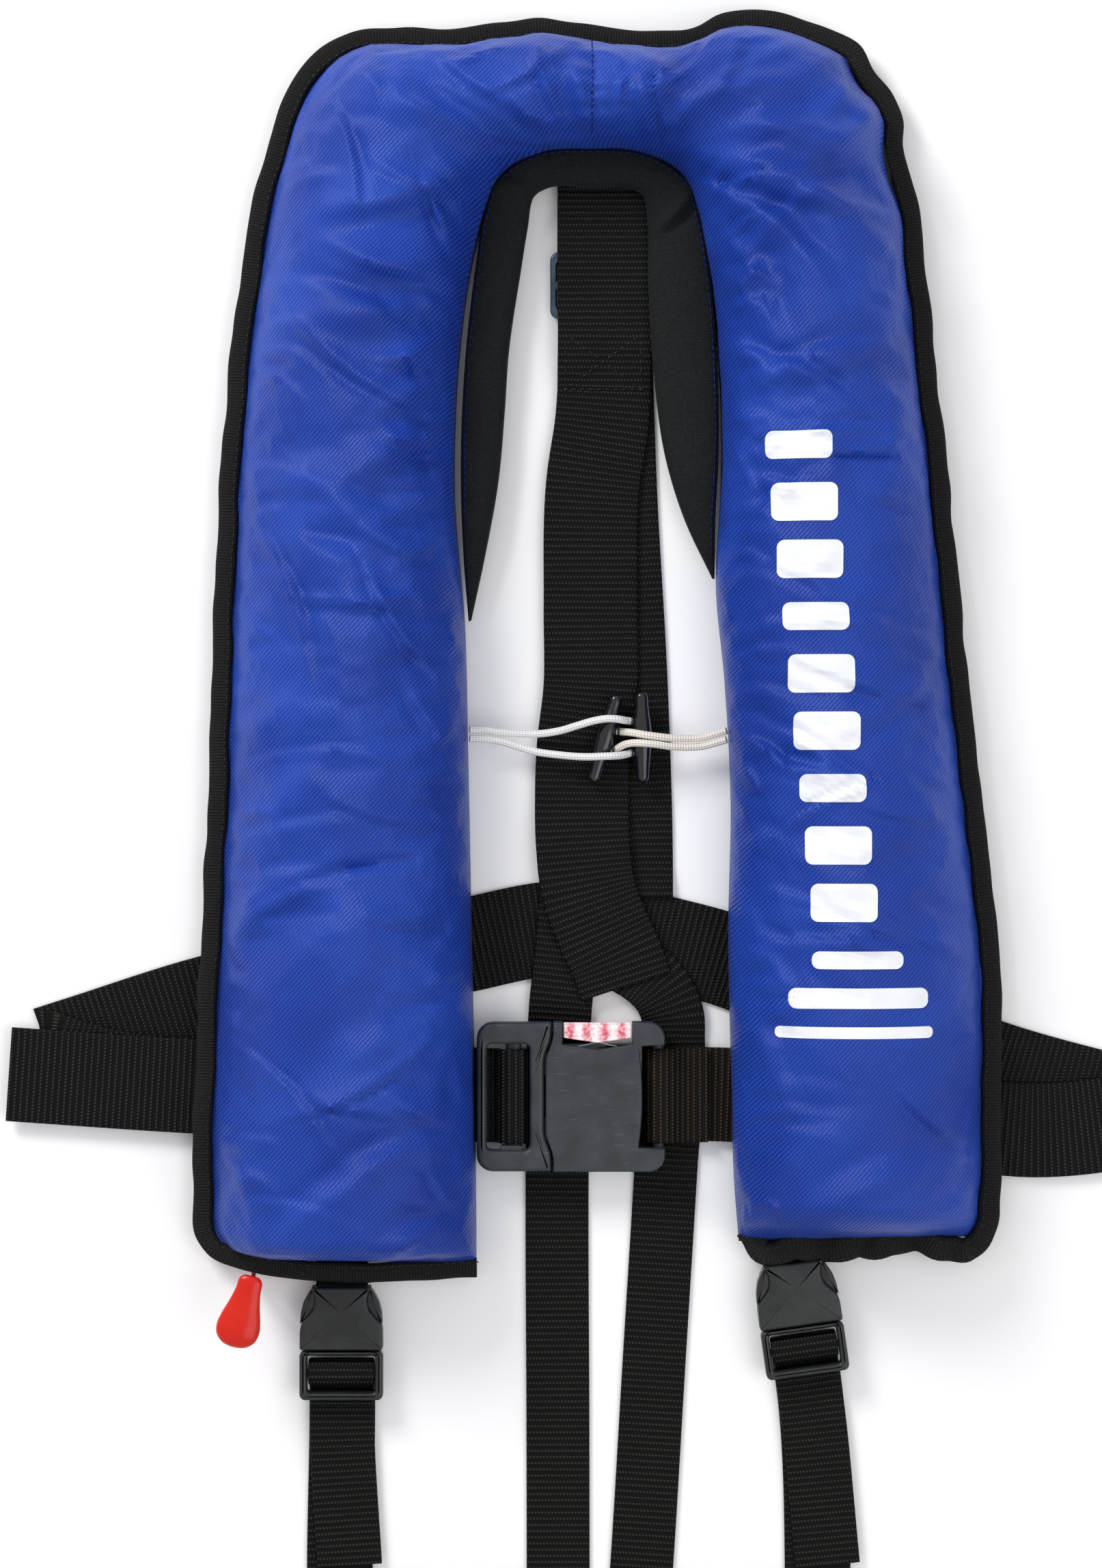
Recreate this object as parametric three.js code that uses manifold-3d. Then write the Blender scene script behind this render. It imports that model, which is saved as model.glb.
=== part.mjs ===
// Inflatable life jacket, lying flat on its back, waist belt and crotch straps closed.
// Millimetres. +X is towards the buckle housing's belt, +Y towards the collar, +Z up off the chest.
// The origin is at the middle of the whole jacket's outline, on the surface it lies on.
import * as THREE from "three";
import { mergeVertices } from "three/addons/utils/BufferGeometryUtils.js";
import Module from "manifold-3d";

const wasm = await Module();
wasm.setup();

// ---------------------------------------------------------------- driving dimensions
const GAP = 0.3; // between pieces that lie on each other
const COVER_WIDTH = 326;
const COVER_LENGTH = 514;
const LOBE_FILL = 17; // what lies under and over the gas cylinder in a lobe
const COVER_WALL = 2.5;
const COVER_ROUND = 8; // rounding of the lobes' top edge
const PANEL_THICKNESS = 1.5;
const BINDING_WIDTH = 7.5;
const BINDING_THICKNESS = 4;
const COLLAR_THICKNESS = 9;
const STRIP_WIDTH = 8; // each half of the burst-open closure
const STRIP_THICKNESS = 1;
const BLADDER_HEIGHT = 9; // the folded bladder
const BLADDER_MARGIN = 17; // from the cover's outer edge to the folded bladder

const WEB_THICKNESS = 1.8;
const BELT_WIDTH = 38;
const CROTCH_WIDTH = 25.5;
const BELT_HALF_SPAN = 235; // from the middle to the ends of the flattened waist belt
const LEFT_FOLD_X = -222; // where the left half of the belt turns back on itself
const CROTCH_END_Y = -329; // the low end of the leg loops

const SLIDER_LENGTH = 27;
const SLIDER_BAR = 5;
const SLIDER_THICKNESS = 2;

const BUCKLE_WIDTH = BELT_WIDTH + 22; // across the belt
const BUCKLE_HOUSING_LENGTH = 46;
const BUCKLE_TAB_LENGTH = 29.5;
const BUCKLE_BOTTOM = 2.4;
const BUCKLE_TOP = 16;
const BUCKLE_WALL = 3;
const PRONG_LENGTH = 20;
const PRONG_THICKNESS = 5;
const BUCKLE_CLEARANCE = 0.4;
const BUTTON_LENGTH = 27.5;
const BUTTON_DEPTH = 8;
const BUTTON_TRAVEL = 2.5;

const SIDE_BUCKLE_WIDTH = 33.7;
const SIDE_SOCKET_LENGTH = 26;
const SIDE_PLUG_LENGTH = 20;
const SIDE_BUCKLE_TOP = 12.9;
const SIDE_PRONG_LENGTH = 17;

const TOGGLE_LENGTH = 37.5;
const TOGGLE_RADIUS = 4.1;
const TOGGLE_END_RADIUS = 2.6;
const CORD_DIAMETER = 3;

const CYLINDER_RADIUS = 12.5; // gas cylinder
const INFLATOR_HEIGHT = 2 * CYLINDER_RADIUS - 3;
const CYLINDER_LENGTH = 120;
const CYLINDER_WALL = 2;
const INFLATOR_SIZE = 32;
const CARTRIDGE_RADIUS = 11;
const CARTRIDGE_LENGTH = 17;
const MANIFOLD_RADIUS = 19;
const LEVER_LENGTH = 24;
const LEVER_THICKNESS = 3;
const PIVOT_RADIUS = 1.5;
const PIN_RADIUS = 2.5;
const HANDLE_LENGTH = 25.5;
const HANDLE_WIDTH = 18.5;
const HANDLE_THICKNESS = 7;
const LANYARD_DIAMETER = 2.4;
const ORAL_RADIUS = 6;
const ORAL_LENGTH = 95;
const WHISTLE_LENGTH = 48;
const WHISTLE_WIDTH = 13;
const WHISTLE_HEIGHT = 10;

// ---------------------------------------------------------------- levels
// Webbing lies in up to three layers under the lobes.
const level = (layer) => layer * (WEB_THICKNESS + GAP);
const PANEL_Z = level(3);
const COVER_Z = PANEL_Z + PANEL_THICKNESS + GAP;
const COVER_HEIGHT = 2 * CYLINDER_RADIUS + LOBE_FILL; // from the back panel to a lobe's top
const CAVITY_TOP = COVER_Z + COVER_HEIGHT - COVER_WALL;
const BLADDER_Z = COVER_Z + 2 * STRIP_THICKNESS + 2 * GAP;
const HARDWARE_Z = BLADDER_Z + BLADDER_HEIGHT + GAP;

// ---------------------------------------------------------------- solids
const v2 = (x, y) => new THREE.Vector2(x, y);
const v3 = (x, y, z) => new THREE.Vector3(x, y, z);

/** A closed three.js geometry as a solid that can be joined and cut. */
function solid(geometry) {
  const bare = geometry.clone();
  bare.deleteAttribute("normal");
  bare.deleteAttribute("uv");
  const merged = mergeVertices(bare, 1e-4);
  const vertProperties = new Float32Array(merged.attributes.position.array);
  const triVerts = new Uint32Array(merged.index.array);
  return new wasm.Manifold(new wasm.Mesh({ numProp: 3, vertProperties, triVerts }));
}

/** A solid back as a three.js geometry. */
function geometryOf(made) {
  const mesh = made.getMesh();
  const geometry = new THREE.BufferGeometry();
  geometry.setAttribute("position", new THREE.BufferAttribute(mesh.vertProperties, 3));
  geometry.setIndex(new THREE.BufferAttribute(mesh.triVerts, 1));
  return geometry;
}

const join = (first, ...rest) => rest.reduce((sum, piece) => sum.add(piece), first);
const cut = (first, ...rest) => rest.reduce((sum, piece) => sum.subtract(piece), first);

/** A shape from [x, y] pairs, without the points that lie on a straight run. */
function shapeOf(outline) {
  const corners = outline.filter(([x, y], i) => {
    const [ax, ay] = outline[(i + outline.length - 1) % outline.length];
    const [bx, by] = outline[(i + 1) % outline.length];
    return Math.abs((x - ax) * (by - ay) - (y - ay) * (bx - ax)) > 1e-2;
  });
  return new THREE.Shape(corners.map(([x, y]) => v2(x, y)));
}

/** A plan outline raised from z0 to z1. */
function slab(outline, z0, z1) {
  const geometry = new THREE.ExtrudeGeometry(shapeOf(outline), {
    depth: z1 - z0,
    bevelEnabled: false,
  });
  return solid(geometry.translate(0, 0, z0));
}

/** A plan outline raised from z0 to z1 with a rounded top edge. */
function pillow(outline, z0, z1, round) {
  const below = 4 * round;
  const geometry = new THREE.ExtrudeGeometry(shapeOf(outline), {
    depth: z1 - z0 + below - 2 * round,
    bevelSize: round,
    bevelOffset: -round,
    bevelThickness: round,
    bevelSegments: 3,
  });
  const raised = solid(geometry.translate(0, 0, z0 - below + round));
  const size = 4 * BELT_HALF_SPAN;
  return raised.subtract(block(-size, size, -size, size, z0 - 2 * below, z0));
}

/** A box between two corners. */
function block(x0, x1, y0, y1, z0, z1) {
  const geometry = new THREE.BoxGeometry(x1 - x0, y1 - y0, z1 - z0);
  return solid(geometry.translate((x0 + x1) / 2, (y0 + y1) / 2, (z0 + z1) / 2));
}

/** A rod along "x", "y" or "z" from one end to the other, round the line through (a, b). */
function rod(axis, from, to, a, b, radius, sides = 20) {
  const geometry = new THREE.CylinderGeometry(radius, radius, to - from, sides);
  const middle = (from + to) / 2;
  if (axis === "x") geometry.rotateZ(Math.PI / 2).translate(middle, a, b);
  if (axis === "y") geometry.translate(a, middle, b);
  if (axis === "z") geometry.rotateX(Math.PI / 2).translate(a, b, middle);
  return solid(geometry);
}

/** A profile of [radius, height] turned about an axis along +Y through (x, z). */
function turned(profile, x, z, sides = 24) {
  const geometry = new THREE.LatheGeometry(
    profile.map(([r, h]) => v2(r, h)),
    sides,
  );
  return solid(geometry.translate(x, 0, z));
}

/** A round cord or tube along points, with flat ends. */
function tube(points, diameter, steps, sides = 8) {
  const ring = new THREE.Shape();
  ring.absarc(0, 0, diameter / 2, 0, 2 * Math.PI);
  const path = new THREE.CatmullRomCurve3(points.map((p) => v3(...p)));
  const geometry = new THREE.ExtrudeGeometry(ring, {
    steps,
    curveSegments: sides / 2,
    extrudePath: path,
    bevelEnabled: false,
  });
  return solid(geometry);
}

/**
 * Webbing: a plan outline, and the height of its underside along the way it runs.
 * `line` is a list of [position along the run, height of the underside].
 */
function webbing(outline, along, line) {
  const under = line.map(([s, z]) => [s, z]);
  const over = line.map(([s, z]) => [s, z + WEB_THICKNESS]).reverse();
  const reach = 4 * BELT_HALF_SPAN;
  const shape = shapeOf([...under, ...over]);
  const geometry = new THREE.ExtrudeGeometry(shape, { depth: 2 * reach, bevelEnabled: false });
  geometry.translate(0, 0, -reach);
  geometry.rotateX(Math.PI / 2);
  if (along === "y") geometry.rotateZ(Math.PI / 2);
  const tall = level(3) + BUCKLE_TOP;
  return solid(geometry).intersect(slab(outline, -tall, tall));
}

/** The plan outline of a strip of constant width along a centre line of [x, y]. */
function strip(centre, width) {
  const left = offset(centre, width / 2);
  const right = offset(centre, -width / 2);
  return [...left, ...right.reverse()];
}

/** An open line moved sideways: to its right by a positive distance. */
function offset(line, distance) {
  return line.map(([x, y], i) => {
    const [ax, ay] = line[Math.max(i - 1, 0)];
    const [bx, by] = line[Math.min(i + 1, line.length - 1)];
    const length = Math.hypot(bx - ax, by - ay);
    return [x + ((by - ay) / length) * distance, y - ((bx - ax) / length) * distance];
  });
}

/** A smooth line through points, as [x, y] pairs. */
function smooth(points, pieces) {
  const curve = new THREE.SplineCurve(points.map(([x, y]) => v2(x, y)));
  return curve.getPoints(pieces * (points.length - 1)).map((p) => [p.x, p.y]);
}

// ---------------------------------------------------------------- the jacket's parts
const jacket = new THREE.Group();
jacket.name = "inflatable_life_jacket";

const finishes = {
  cover: { color: 0x1a3fa8, roughness: 0.75, metalness: 0 },
  webbing: { color: 0x16171a, roughness: 0.8, metalness: 0 },
  binding: { color: 0x1b1c1f, roughness: 0.85, metalness: 0 },
  neoprene: { color: 0x141416, roughness: 0.9, metalness: 0 },
  bladder: { color: 0xf2b50c, roughness: 0.6, metalness: 0 },
  buckle: { color: 0x35383b, roughness: 0.5, metalness: 0 },
  button: { color: 0xd63a4a, roughness: 0.25, metalness: 0 },
  handle: { color: 0xe0301c, roughness: 0.2, metalness: 0 },
  cord: { color: 0xe6e2dc, roughness: 0.8, metalness: 0 },
  toggle: { color: 0x17120f, roughness: 0.15, metalness: 0 },
  steel: { color: 0x9aa0a5, roughness: 0.3, metalness: 1 },
  inflator: { color: 0x222428, roughness: 0.5, metalness: 0 },
  whistle: { color: 0xf07818, roughness: 0.4, metalness: 0 },
};

/** Adds one named sub-part to the jacket, or to a turned group in it. */
function add(name, made, finish, group = jacket) {
  const mesh = new THREE.Mesh(geometryOf(made), new THREE.MeshStandardMaterial(finishes[finish]));
  mesh.name = name;
  group.add(mesh);
  return mesh;
}

// ---- the cover's pattern, drawn once and graded to the cover's width and length
const PATTERN_WIDTH = 326;
const PATTERN_LENGTH = 514;
const grade = ([x, y]) => [(x * COVER_WIDTH) / PATTERN_WIDTH, (y * COVER_LENGTH) / PATTERN_LENGTH];

// From the left lobe's inner bottom corner, out and up, over the neck, down to the right lobe's.
const outerEdge = smooth(
  [
    [-46, -180], [-84, -182], [-120, -181.5], [-142, -176], [-155, -163], [-160.5, -140],
    [-160, -110], [-157.5, -50], [-154.5, 10], [-152, 90], [-147, 175], [-140, 232],
    [-131, 271], [-117, 302], [-97, 320], [-62, 326], [-18, 326], [30, 325], [62, 329],
    [92, 325], [113, 310], [126, 286], [133, 250], [136, 208], [144, 140], [153, 50],
    [160, -10], [165, -60], [164.5, -110], [162, -148], [150, -167], [118, -171],
    [88, -171], [60, -169],
  ].map(grade),
  2,
);

// From the right lobe's inner bottom corner up, round the neck, down the left lobe.
const innerEdge = smooth(
  [
    [57.5, -135], [56.5, -107], [55, -44], [56, 18], [53.5, 66], [50, 100], [52, 138],
    [51.5, 182], [47.5, 223], [38, 260], [22, 271], [0, 273], [-22, 271], [-37, 262],
    [-48.5, 229], [-53, 182], [-55, 138], [-52, 100], [-49.6, 66], [-49.6, 20],
    [-48.5, -28], [-47.4, -75], [-46.4, -140],
  ].map(grade),
  2,
);

// The collar's free edge, from the left tip round the neck to the right tip.
const collarEdge = smooth(
  [
    [-48, 84], [-41, 117], [-36, 150], [-33.5, 190], [-28.5, 225], [-19, 250], [0, 258.5],
    [18, 251], [26, 225], [27.5, 185], [31, 150], [40, 117], [48, 100],
  ].map(grade),
  2,
);

/** The closed U between the outer edge and the inner edge, each drawn in by its own margin. */
function pattern(outerMargin, innerMargin, drop) {
  const outer = offset(outerEdge, outerMargin).slice(drop, outerEdge.length - drop);
  return [...outer, ...offset(innerEdge, innerMargin)];
}

/** A band that runs along inside the outer edge. */
function edgeBand(from, to, drop) {
  const keep = (line) => line.slice(drop, line.length - drop);
  return [...keep(offset(outerEdge, from)), ...keep(offset(outerEdge, to)).reverse()];
}

const SEAM = BINDING_WIDTH + GAP; // the cover starts inside the binding
const [LOBE_OUTER_X] = grade([-160, 0]);
const [LOBE_INNER_X] = grade([-48, 0]);
const LEFT_LOBE_X = (LOBE_OUTER_X + LOBE_INNER_X) / 2;
const [RIGHT_LOBE_X] = grade([105, 0]);
const [, LEFT_BOTTOM_Y] = grade([0, -182]);
const [, RIGHT_BOTTOM_Y] = grade([0, -171]);
const [, NECK_Y] = grade([0, 273]);

function addCover() {
  const outside = pillow(pattern(SEAM, 0, 0), COVER_Z, COVER_Z + COVER_HEIGHT, COVER_ROUND);
  const hollow = slab(pattern(SEAM + COVER_WALL, COVER_WALL, 1), COVER_Z - GAP, CAVITY_TOP);
  const lanyardHole = rod(
    "y", LEFT_BOTTOM_Y - SEAM, LEFT_BOTTOM_Y + 4 * SEAM, HANDLE_X, LANYARD_Z,
    LANYARD_DIAMETER / 2 + 2 * GAP, 12,
  );
  add("front_cover", cut(outside, hollow, lanyardHole), "cover");
  add("back_panel", slab(pattern(SEAM, 0, 0), PANEL_Z, PANEL_Z + PANEL_THICKNESS), "cover");
  const binding = slab(edgeBand(0, BINDING_WIDTH, 0), PANEL_Z, PANEL_Z + BINDING_THICKNESS);
  add("edge_binding", binding, "binding");

  const start = SEAM + COVER_WALL + GAP;
  const closure = edgeBand(start, start + STRIP_WIDTH, 5);
  add("closure_hook_strip", slab(closure, COVER_Z, COVER_Z + STRIP_THICKNESS), "binding");
  const upper = COVER_Z + STRIP_THICKNESS + GAP;
  add("closure_loop_strip", slab(closure, upper, upper + STRIP_THICKNESS), "binding");

  const folded = pattern(BLADDER_MARGIN, COVER_WALL + 4, 9);
  add("buoyancy_bladder", slab(folded, BLADDER_Z, BLADDER_Z + BLADDER_HEIGHT), "bladder");
}

function addCollar() {
  const neckSide = offset(innerEdge, -GAP).filter(([x, y]) => y > grade([0, x > 0 ? 104 : 88])[1]);
  const outline = [...neckSide, ...collarEdge];
  add("neck_collar", slab(outline, PANEL_Z, PANEL_Z + COLLAR_THICKNESS), "neoprene");
}

// ---- the gas inflator in the left lobe
const INFLATOR_Y = LEFT_BOTTOM_Y + 50;
const BARREL_Z = HARDWARE_Z + CYLINDER_RADIUS + GAP; // axis of cylinder, pin and cartridge
const INFLATOR_Z = BARREL_Z - INFLATOR_HEIGHT / 2;
const HALF_INFLATOR = INFLATOR_SIZE / 2;
const NECK_RADIUS = 7;
const NECK_LENGTH = 9;
const LEVER_X = LEFT_LOBE_X - HALF_INFLATOR - 3.5;
const LEVER_Y = INFLATOR_Y - 8;
const EAR_REACH = 7;
const HANDLE_X = LEVER_X - 17;
const LANYARD_Z = BARREL_Z;
const HANDLE_Y = LEFT_BOTTOM_Y + 2;

function addInflator() {
  const x = LEFT_LOBE_X;
  const top = INFLATOR_Y + HALF_INFLATOR;
  const bottom = INFLATOR_Y - HALF_INFLATOR;
  const body = block(
    x - HALF_INFLATOR, x + HALF_INFLATOR, bottom, top, INFLATOR_Z, INFLATOR_Z + INFLATOR_HEIGHT,
  );
  const earLow = BARREL_Z - LEVER_THICKNESS / 2 - GAP;
  const earHigh = BARREL_Z + LEVER_THICKNESS / 2 + GAP;
  const earTop = LEVER_Y + 5;
  const ears = block(
    LEVER_X - 4, x, LEVER_Y - 5, earTop, earLow - EAR_REACH / 2, earHigh + EAR_REACH / 2,
  );
  const leverRoom = block(
    LEVER_X - 8, x - HALF_INFLATOR + 1.5, LEVER_Y - 8, earTop + 4, earLow, earHigh,
  );
  const pivotBore = rod("z", earLow - EAR_REACH, earHigh + EAR_REACH, LEVER_X, LEVER_Y,
    PIVOT_RADIUS + GAP, 16);
  const neckBore = rod("y", top - NECK_LENGTH - GAP, top + 1, x, BARREL_Z, NECK_RADIUS + GAP, 24);
  const pinBore = rod("y", bottom - 1, top, x, BARREL_Z, PIN_RADIUS + GAP, 16);
  const cartridgeSeat = rod("y", bottom - 1, bottom + 4, x, BARREL_Z, PIN_RADIUS + 3, 20);
  const solidBody = cut(join(body, ears), leverRoom, pivotBore, neckBore, pinBore, cartridgeSeat);
  add("inflator_body", solidBody, "inflator");

  const manifold = turnedUp(
    [[0, 0], [MANIFOLD_RADIUS, 0], [MANIFOLD_RADIUS, PANEL_THICKNESS], [0, PANEL_THICKNESS]],
    x, INFLATOR_Y, HARDWARE_Z,
  );
  add("inflator_manifold", manifold, "inflator");

  const shoulder = top + GAP;
  const far = shoulder + CYLINDER_LENGTH;
  const inside = CYLINDER_RADIUS - CYLINDER_WALL;
  const cylinder = turned(
    [
      [0, far - 2 * CYLINDER_WALL], [inside, far - 10], [inside, shoulder + 17],
      [PIN_RADIUS, shoulder + 5], [PIN_RADIUS, top - NECK_LENGTH], [NECK_RADIUS, top - NECK_LENGTH], [NECK_RADIUS, shoulder + 3],
      [CYLINDER_RADIUS * 0.86, shoulder + 9], [CYLINDER_RADIUS, shoulder + 16],
      [CYLINDER_RADIUS, far - 8], [CYLINDER_RADIUS * 0.8, far - 2], [0, far],
    ],
    x, BARREL_Z,
  );
  add("gas_cylinder", cylinder, "steel");

  const pinTop = top - NECK_LENGTH - 3;
  const pin = turned(
    [[0, bottom + 6], [PIN_RADIUS, bottom + 6], [PIN_RADIUS, pinTop - 3], [0, pinTop]],
    x, BARREL_Z, 12,
  );
  add("piercing_pin", pin, "steel");

  const under = bottom - GAP;
  const cap = turned(
    [
      [0, under - CARTRIDGE_LENGTH], [CARTRIDGE_RADIUS - 2, under - CARTRIDGE_LENGTH],
      [CARTRIDGE_RADIUS, under - CARTRIDGE_LENGTH + 2], [CARTRIDGE_RADIUS, under],
      [PIN_RADIUS + 2.7, under], [PIN_RADIUS + 2.7, under + 4], [0, under + 4],
    ],
    x, BARREL_Z,
  );
  add("auto_cartridge_cap", cap, "inflator");

  const arm = block(
    LEVER_X - 3, LEVER_X + 3, LEVER_Y, LEVER_Y + LEVER_LENGTH,
    BARREL_Z - LEVER_THICKNESS / 2, BARREL_Z + LEVER_THICKNESS / 2,
  );
  const hub = rod("z", BARREL_Z - LEVER_THICKNESS / 2, BARREL_Z + LEVER_THICKNESS / 2,
    LEVER_X, LEVER_Y, 3, 16);
  const hubBore = rod("z", 0, 2 * BARREL_Z, LEVER_X, LEVER_Y, PIVOT_RADIUS + GAP, 16);
  add("firing_lever", cut(join(arm, hub), hubBore), "inflator");
  const pivot = rod("z", earLow - EAR_REACH / 2, earHigh + EAR_REACH / 2, LEVER_X, LEVER_Y,
    PIVOT_RADIUS, 12);
  add("lever_pivot_pin", pivot, "steel");

  const leverEnd = LEVER_Y + LEVER_LENGTH;
  const lanyard = tube(
    [
      [LEVER_X - 3 - GAP - LANYARD_DIAMETER / 2, leverEnd - 3, LANYARD_Z],
      [LEVER_X - 9, leverEnd - 14, LANYARD_Z],
      [HANDLE_X + 1, LEVER_Y, LANYARD_Z],
      [HANDLE_X, LEFT_BOTTOM_Y + 20, LANYARD_Z],
      [HANDLE_X, HANDLE_Y + 0.5, LANYARD_Z],
    ],
    LANYARD_DIAMETER, 16,
  );
  add("firing_lanyard", lanyard, "handle");
}

/** A profile of [radius, height] turned about a vertical axis. */
function turnedUp(profile, x, y, z, sides = 28) {
  const geometry = new THREE.LatheGeometry(
    profile.map(([r, h]) => v2(r, h)),
    sides,
  );
  return solid(geometry.rotateX(Math.PI / 2).translate(x, y, z));
}

function addPullHandle() {
  const half = HANDLE_WIDTH / 2;
  const low = HANDLE_Y - HANDLE_LENGTH;
  const outline = smooth(
    [
      [HANDLE_X - 4.5, HANDLE_Y], [HANDLE_X - half + 1.5, low + HANDLE_LENGTH * 0.55],
      [HANDLE_X - half, low + HANDLE_LENGTH * 0.34], [HANDLE_X - half * 0.72, low + 3.2],
      [HANDLE_X, low], [HANDLE_X + half * 0.72, low + 3.2],
      [HANDLE_X + half, low + HANDLE_LENGTH * 0.34],
      [HANDLE_X + half - 1.5, low + HANDLE_LENGTH * 0.55], [HANDLE_X + 4.5, HANDLE_Y],
    ],
    3,
  );
  const z0 = LANYARD_Z - HANDLE_THICKNESS / 2;
  const body = slab(outline, z0, z0 + HANDLE_THICKNESS);
  add("pull_handle", body, "handle");
}

// ---- the oral tube, whistle and lifting loop in the right lobe
function addRightLobeFittings() {
  const x = RIGHT_LOBE_X;
  const [, tubeY] = grade([0, 150]);
  const tubeZ = HARDWARE_Z + ORAL_RADIUS + 4;
  const flange = turnedUp(
    [[0, 0], [2.4 * ORAL_RADIUS, 0], [2.4 * ORAL_RADIUS, PANEL_THICKNESS], [0, PANEL_THICKNESS]],
    x, tubeY, HARDWARE_Z,
  );
  const elbow = rod("z", HARDWARE_Z, tubeZ, x, tubeY, ORAL_RADIUS, 20);
  const run = rod("y", tubeY - ORAL_LENGTH, tubeY + ORAL_RADIUS, x, tubeZ, ORAL_RADIUS, 20);
  const valve = rod("y", tubeY - ORAL_LENGTH - 10, tubeY - ORAL_LENGTH + 1, x, tubeZ,
    ORAL_RADIUS - 1.5, 20);
  add("oral_inflation_tube", join(flange, elbow, run, valve), "inflator");

  const capTop = tubeY - ORAL_LENGTH - GAP;
  const inner = ORAL_RADIUS - 1.5 + GAP;
  const cap = turned(
    [
      [0, capTop - 14], [ORAL_RADIUS, capTop - 14], [ORAL_RADIUS + 0.8, capTop - 12],
      [ORAL_RADIUS + 0.8, capTop], [inner, capTop], [inner, capTop - 10.5], [0, capTop - 10.5],
    ],
    x, tubeZ,
  );
  add("oral_tube_cap", cap, "handle");

  const [, whistleY] = grade([0, -20]);
  const whistleX = x + 14;
  const low = whistleY - WHISTLE_LENGTH;
  const outer = block(
    whistleX - WHISTLE_WIDTH / 2, whistleX + WHISTLE_WIDTH / 2, low, whistleY,
    HARDWARE_Z, HARDWARE_Z + WHISTLE_HEIGHT,
  );
  const chamber = block(
    whistleX - WHISTLE_WIDTH / 2 + 1.5, whistleX + WHISTLE_WIDTH / 2 - 1.5, low + 12, whistleY + 1,
    HARDWARE_Z + 1.5, HARDWARE_Z + WHISTLE_HEIGHT - 1.5,
  );
  const slot = block(
    whistleX - WHISTLE_WIDTH / 2 + 1.5, whistleX + WHISTLE_WIDTH / 2 - 1.5, low + 16, low + 20,
    HARDWARE_Z + 3, HARDWARE_Z + WHISTLE_HEIGHT + 1,
  );
  add("whistle", cut(outer, chamber, slot), "whistle");

  const [, loopY] = grade([0, -60]);
  const loopX = x - 20;
  const loopWidth = CROTCH_WIDTH / 2;
  const loopTop = HARDWARE_Z + 2 * WEB_THICKNESS + GAP;
  const lower = block(loopX - loopWidth, loopX + loopWidth, loopY - 70, loopY,
    HARDWARE_Z, HARDWARE_Z + WEB_THICKNESS);
  const upper = block(loopX - loopWidth, loopX + loopWidth, loopY - 70, loopY,
    loopTop - WEB_THICKNESS, loopTop);
  const turn = block(loopX - loopWidth, loopX + loopWidth, loopY - WEB_THICKNESS, loopY,
    HARDWARE_Z, loopTop);
  add("lifting_loop", join(lower, upper, turn), "webbing");
}

// ---- webbing: back strap, waist belt and crotch straps
const STRAP_TOP_Y = NECK_Y + 14;
const SLIDER_Y = 220;
const BACK_STRAP_X = 5.4;
const BELT_BACK_Y = -38; // middle of the belt behind the back strap
const BUCKLE_DROP = 20; // from the belt behind to the buckle in front
const WAIST_Y = BELT_BACK_Y - (BELT_WIDTH + BUCKLE_WIDTH) / 2 - BUCKLE_DROP;
const REAR_END_Y = BELT_BACK_Y + BELT_WIDTH / 2 + 1;

function addBackStrap() {
  const rearPlan = strip(
    [[BACK_STRAP_X, STRAP_TOP_Y], [BACK_STRAP_X, 210], [7.5, 140], [12, 57], [14, REAR_END_Y]],
    BELT_WIDTH,
  );
  const flat = [[STRAP_TOP_Y + 1, level(0)], [REAR_END_Y - 1, level(0)]];
  add("back_strap_rear", webbing(rearPlan, "y", flat), "webbing");

  const frontPlan = [
    [BACK_STRAP_X - 19, STRAP_TOP_Y], [BACK_STRAP_X - 19, 179], [-17.8, 141], [-19.2, 57],
    [-22.8, 29], [-22.5, -29], [-12, -50], [-2.2, -66], [29.9, -58.6], [20, -40],
    [14.8, -29], [14.8, 29], [18.4, 57], [19, 141], [BACK_STRAP_X + 19, 179],
    [BACK_STRAP_X + 19, STRAP_TOP_Y],
  ];
  const half = SLIDER_LENGTH / 2;
  const overSlider = level(1) + SLIDER_THICKNESS + GAP;
  const line = [
    [STRAP_TOP_Y + 1, level(1)], [SLIDER_Y + half + 7, level(1)], [SLIDER_Y + half + 1, overSlider],
    [SLIDER_Y - half - 1, overSlider], [SLIDER_Y - half - 7, level(1)], [2, level(1)],
    [-8, level(2)], [-80, level(2)],
  ];
  add("back_strap_front", webbing(frontPlan, "y", line), "webbing");

  const side = BELT_WIDTH / 2 + 3;
  const frame = block(BACK_STRAP_X - side, BACK_STRAP_X + side, SLIDER_Y - half, SLIDER_Y + half,
    level(1), level(1) + SLIDER_THICKNESS);
  const openHalf = (SLIDER_LENGTH - 3 * SLIDER_BAR) / 2;
  const slots = [-1, 1].map((sign) => {
    const middle = SLIDER_Y + (sign * (SLIDER_BAR + openHalf)) / 2;
    return block(BACK_STRAP_X - side + 2.5, BACK_STRAP_X + side - 2.5,
      middle - openHalf / 2, middle + openHalf / 2, 0, BUCKLE_TOP);
  });
  add("back_strap_slider", cut(frame, ...slots), "steel");
}

// the closed main buckle, centred on its parting line
const [LOBE_BOTTOM_X] = grade([-46.4, 0]);
const PARTING_X = LOBE_BOTTOM_X + BUCKLE_TAB_LENGTH + GAP;
const TAB_BAR_X = PARTING_X - 14.8;
const TAB_BAR_HALF = 3.2;
const TAB_BAR_Z = 9.2;
const TAB_BAR_THICKNESS = 3.4;
const TAB_BOTTOM = PANEL_Z;
const HOUSING_BAR_X = PARTING_X + BUCKLE_HOUSING_LENGTH - 2.6;
const HOUSING_BAR_HALF = 2.4;
const HOUSING_BAR_Z = 7.6;

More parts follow.
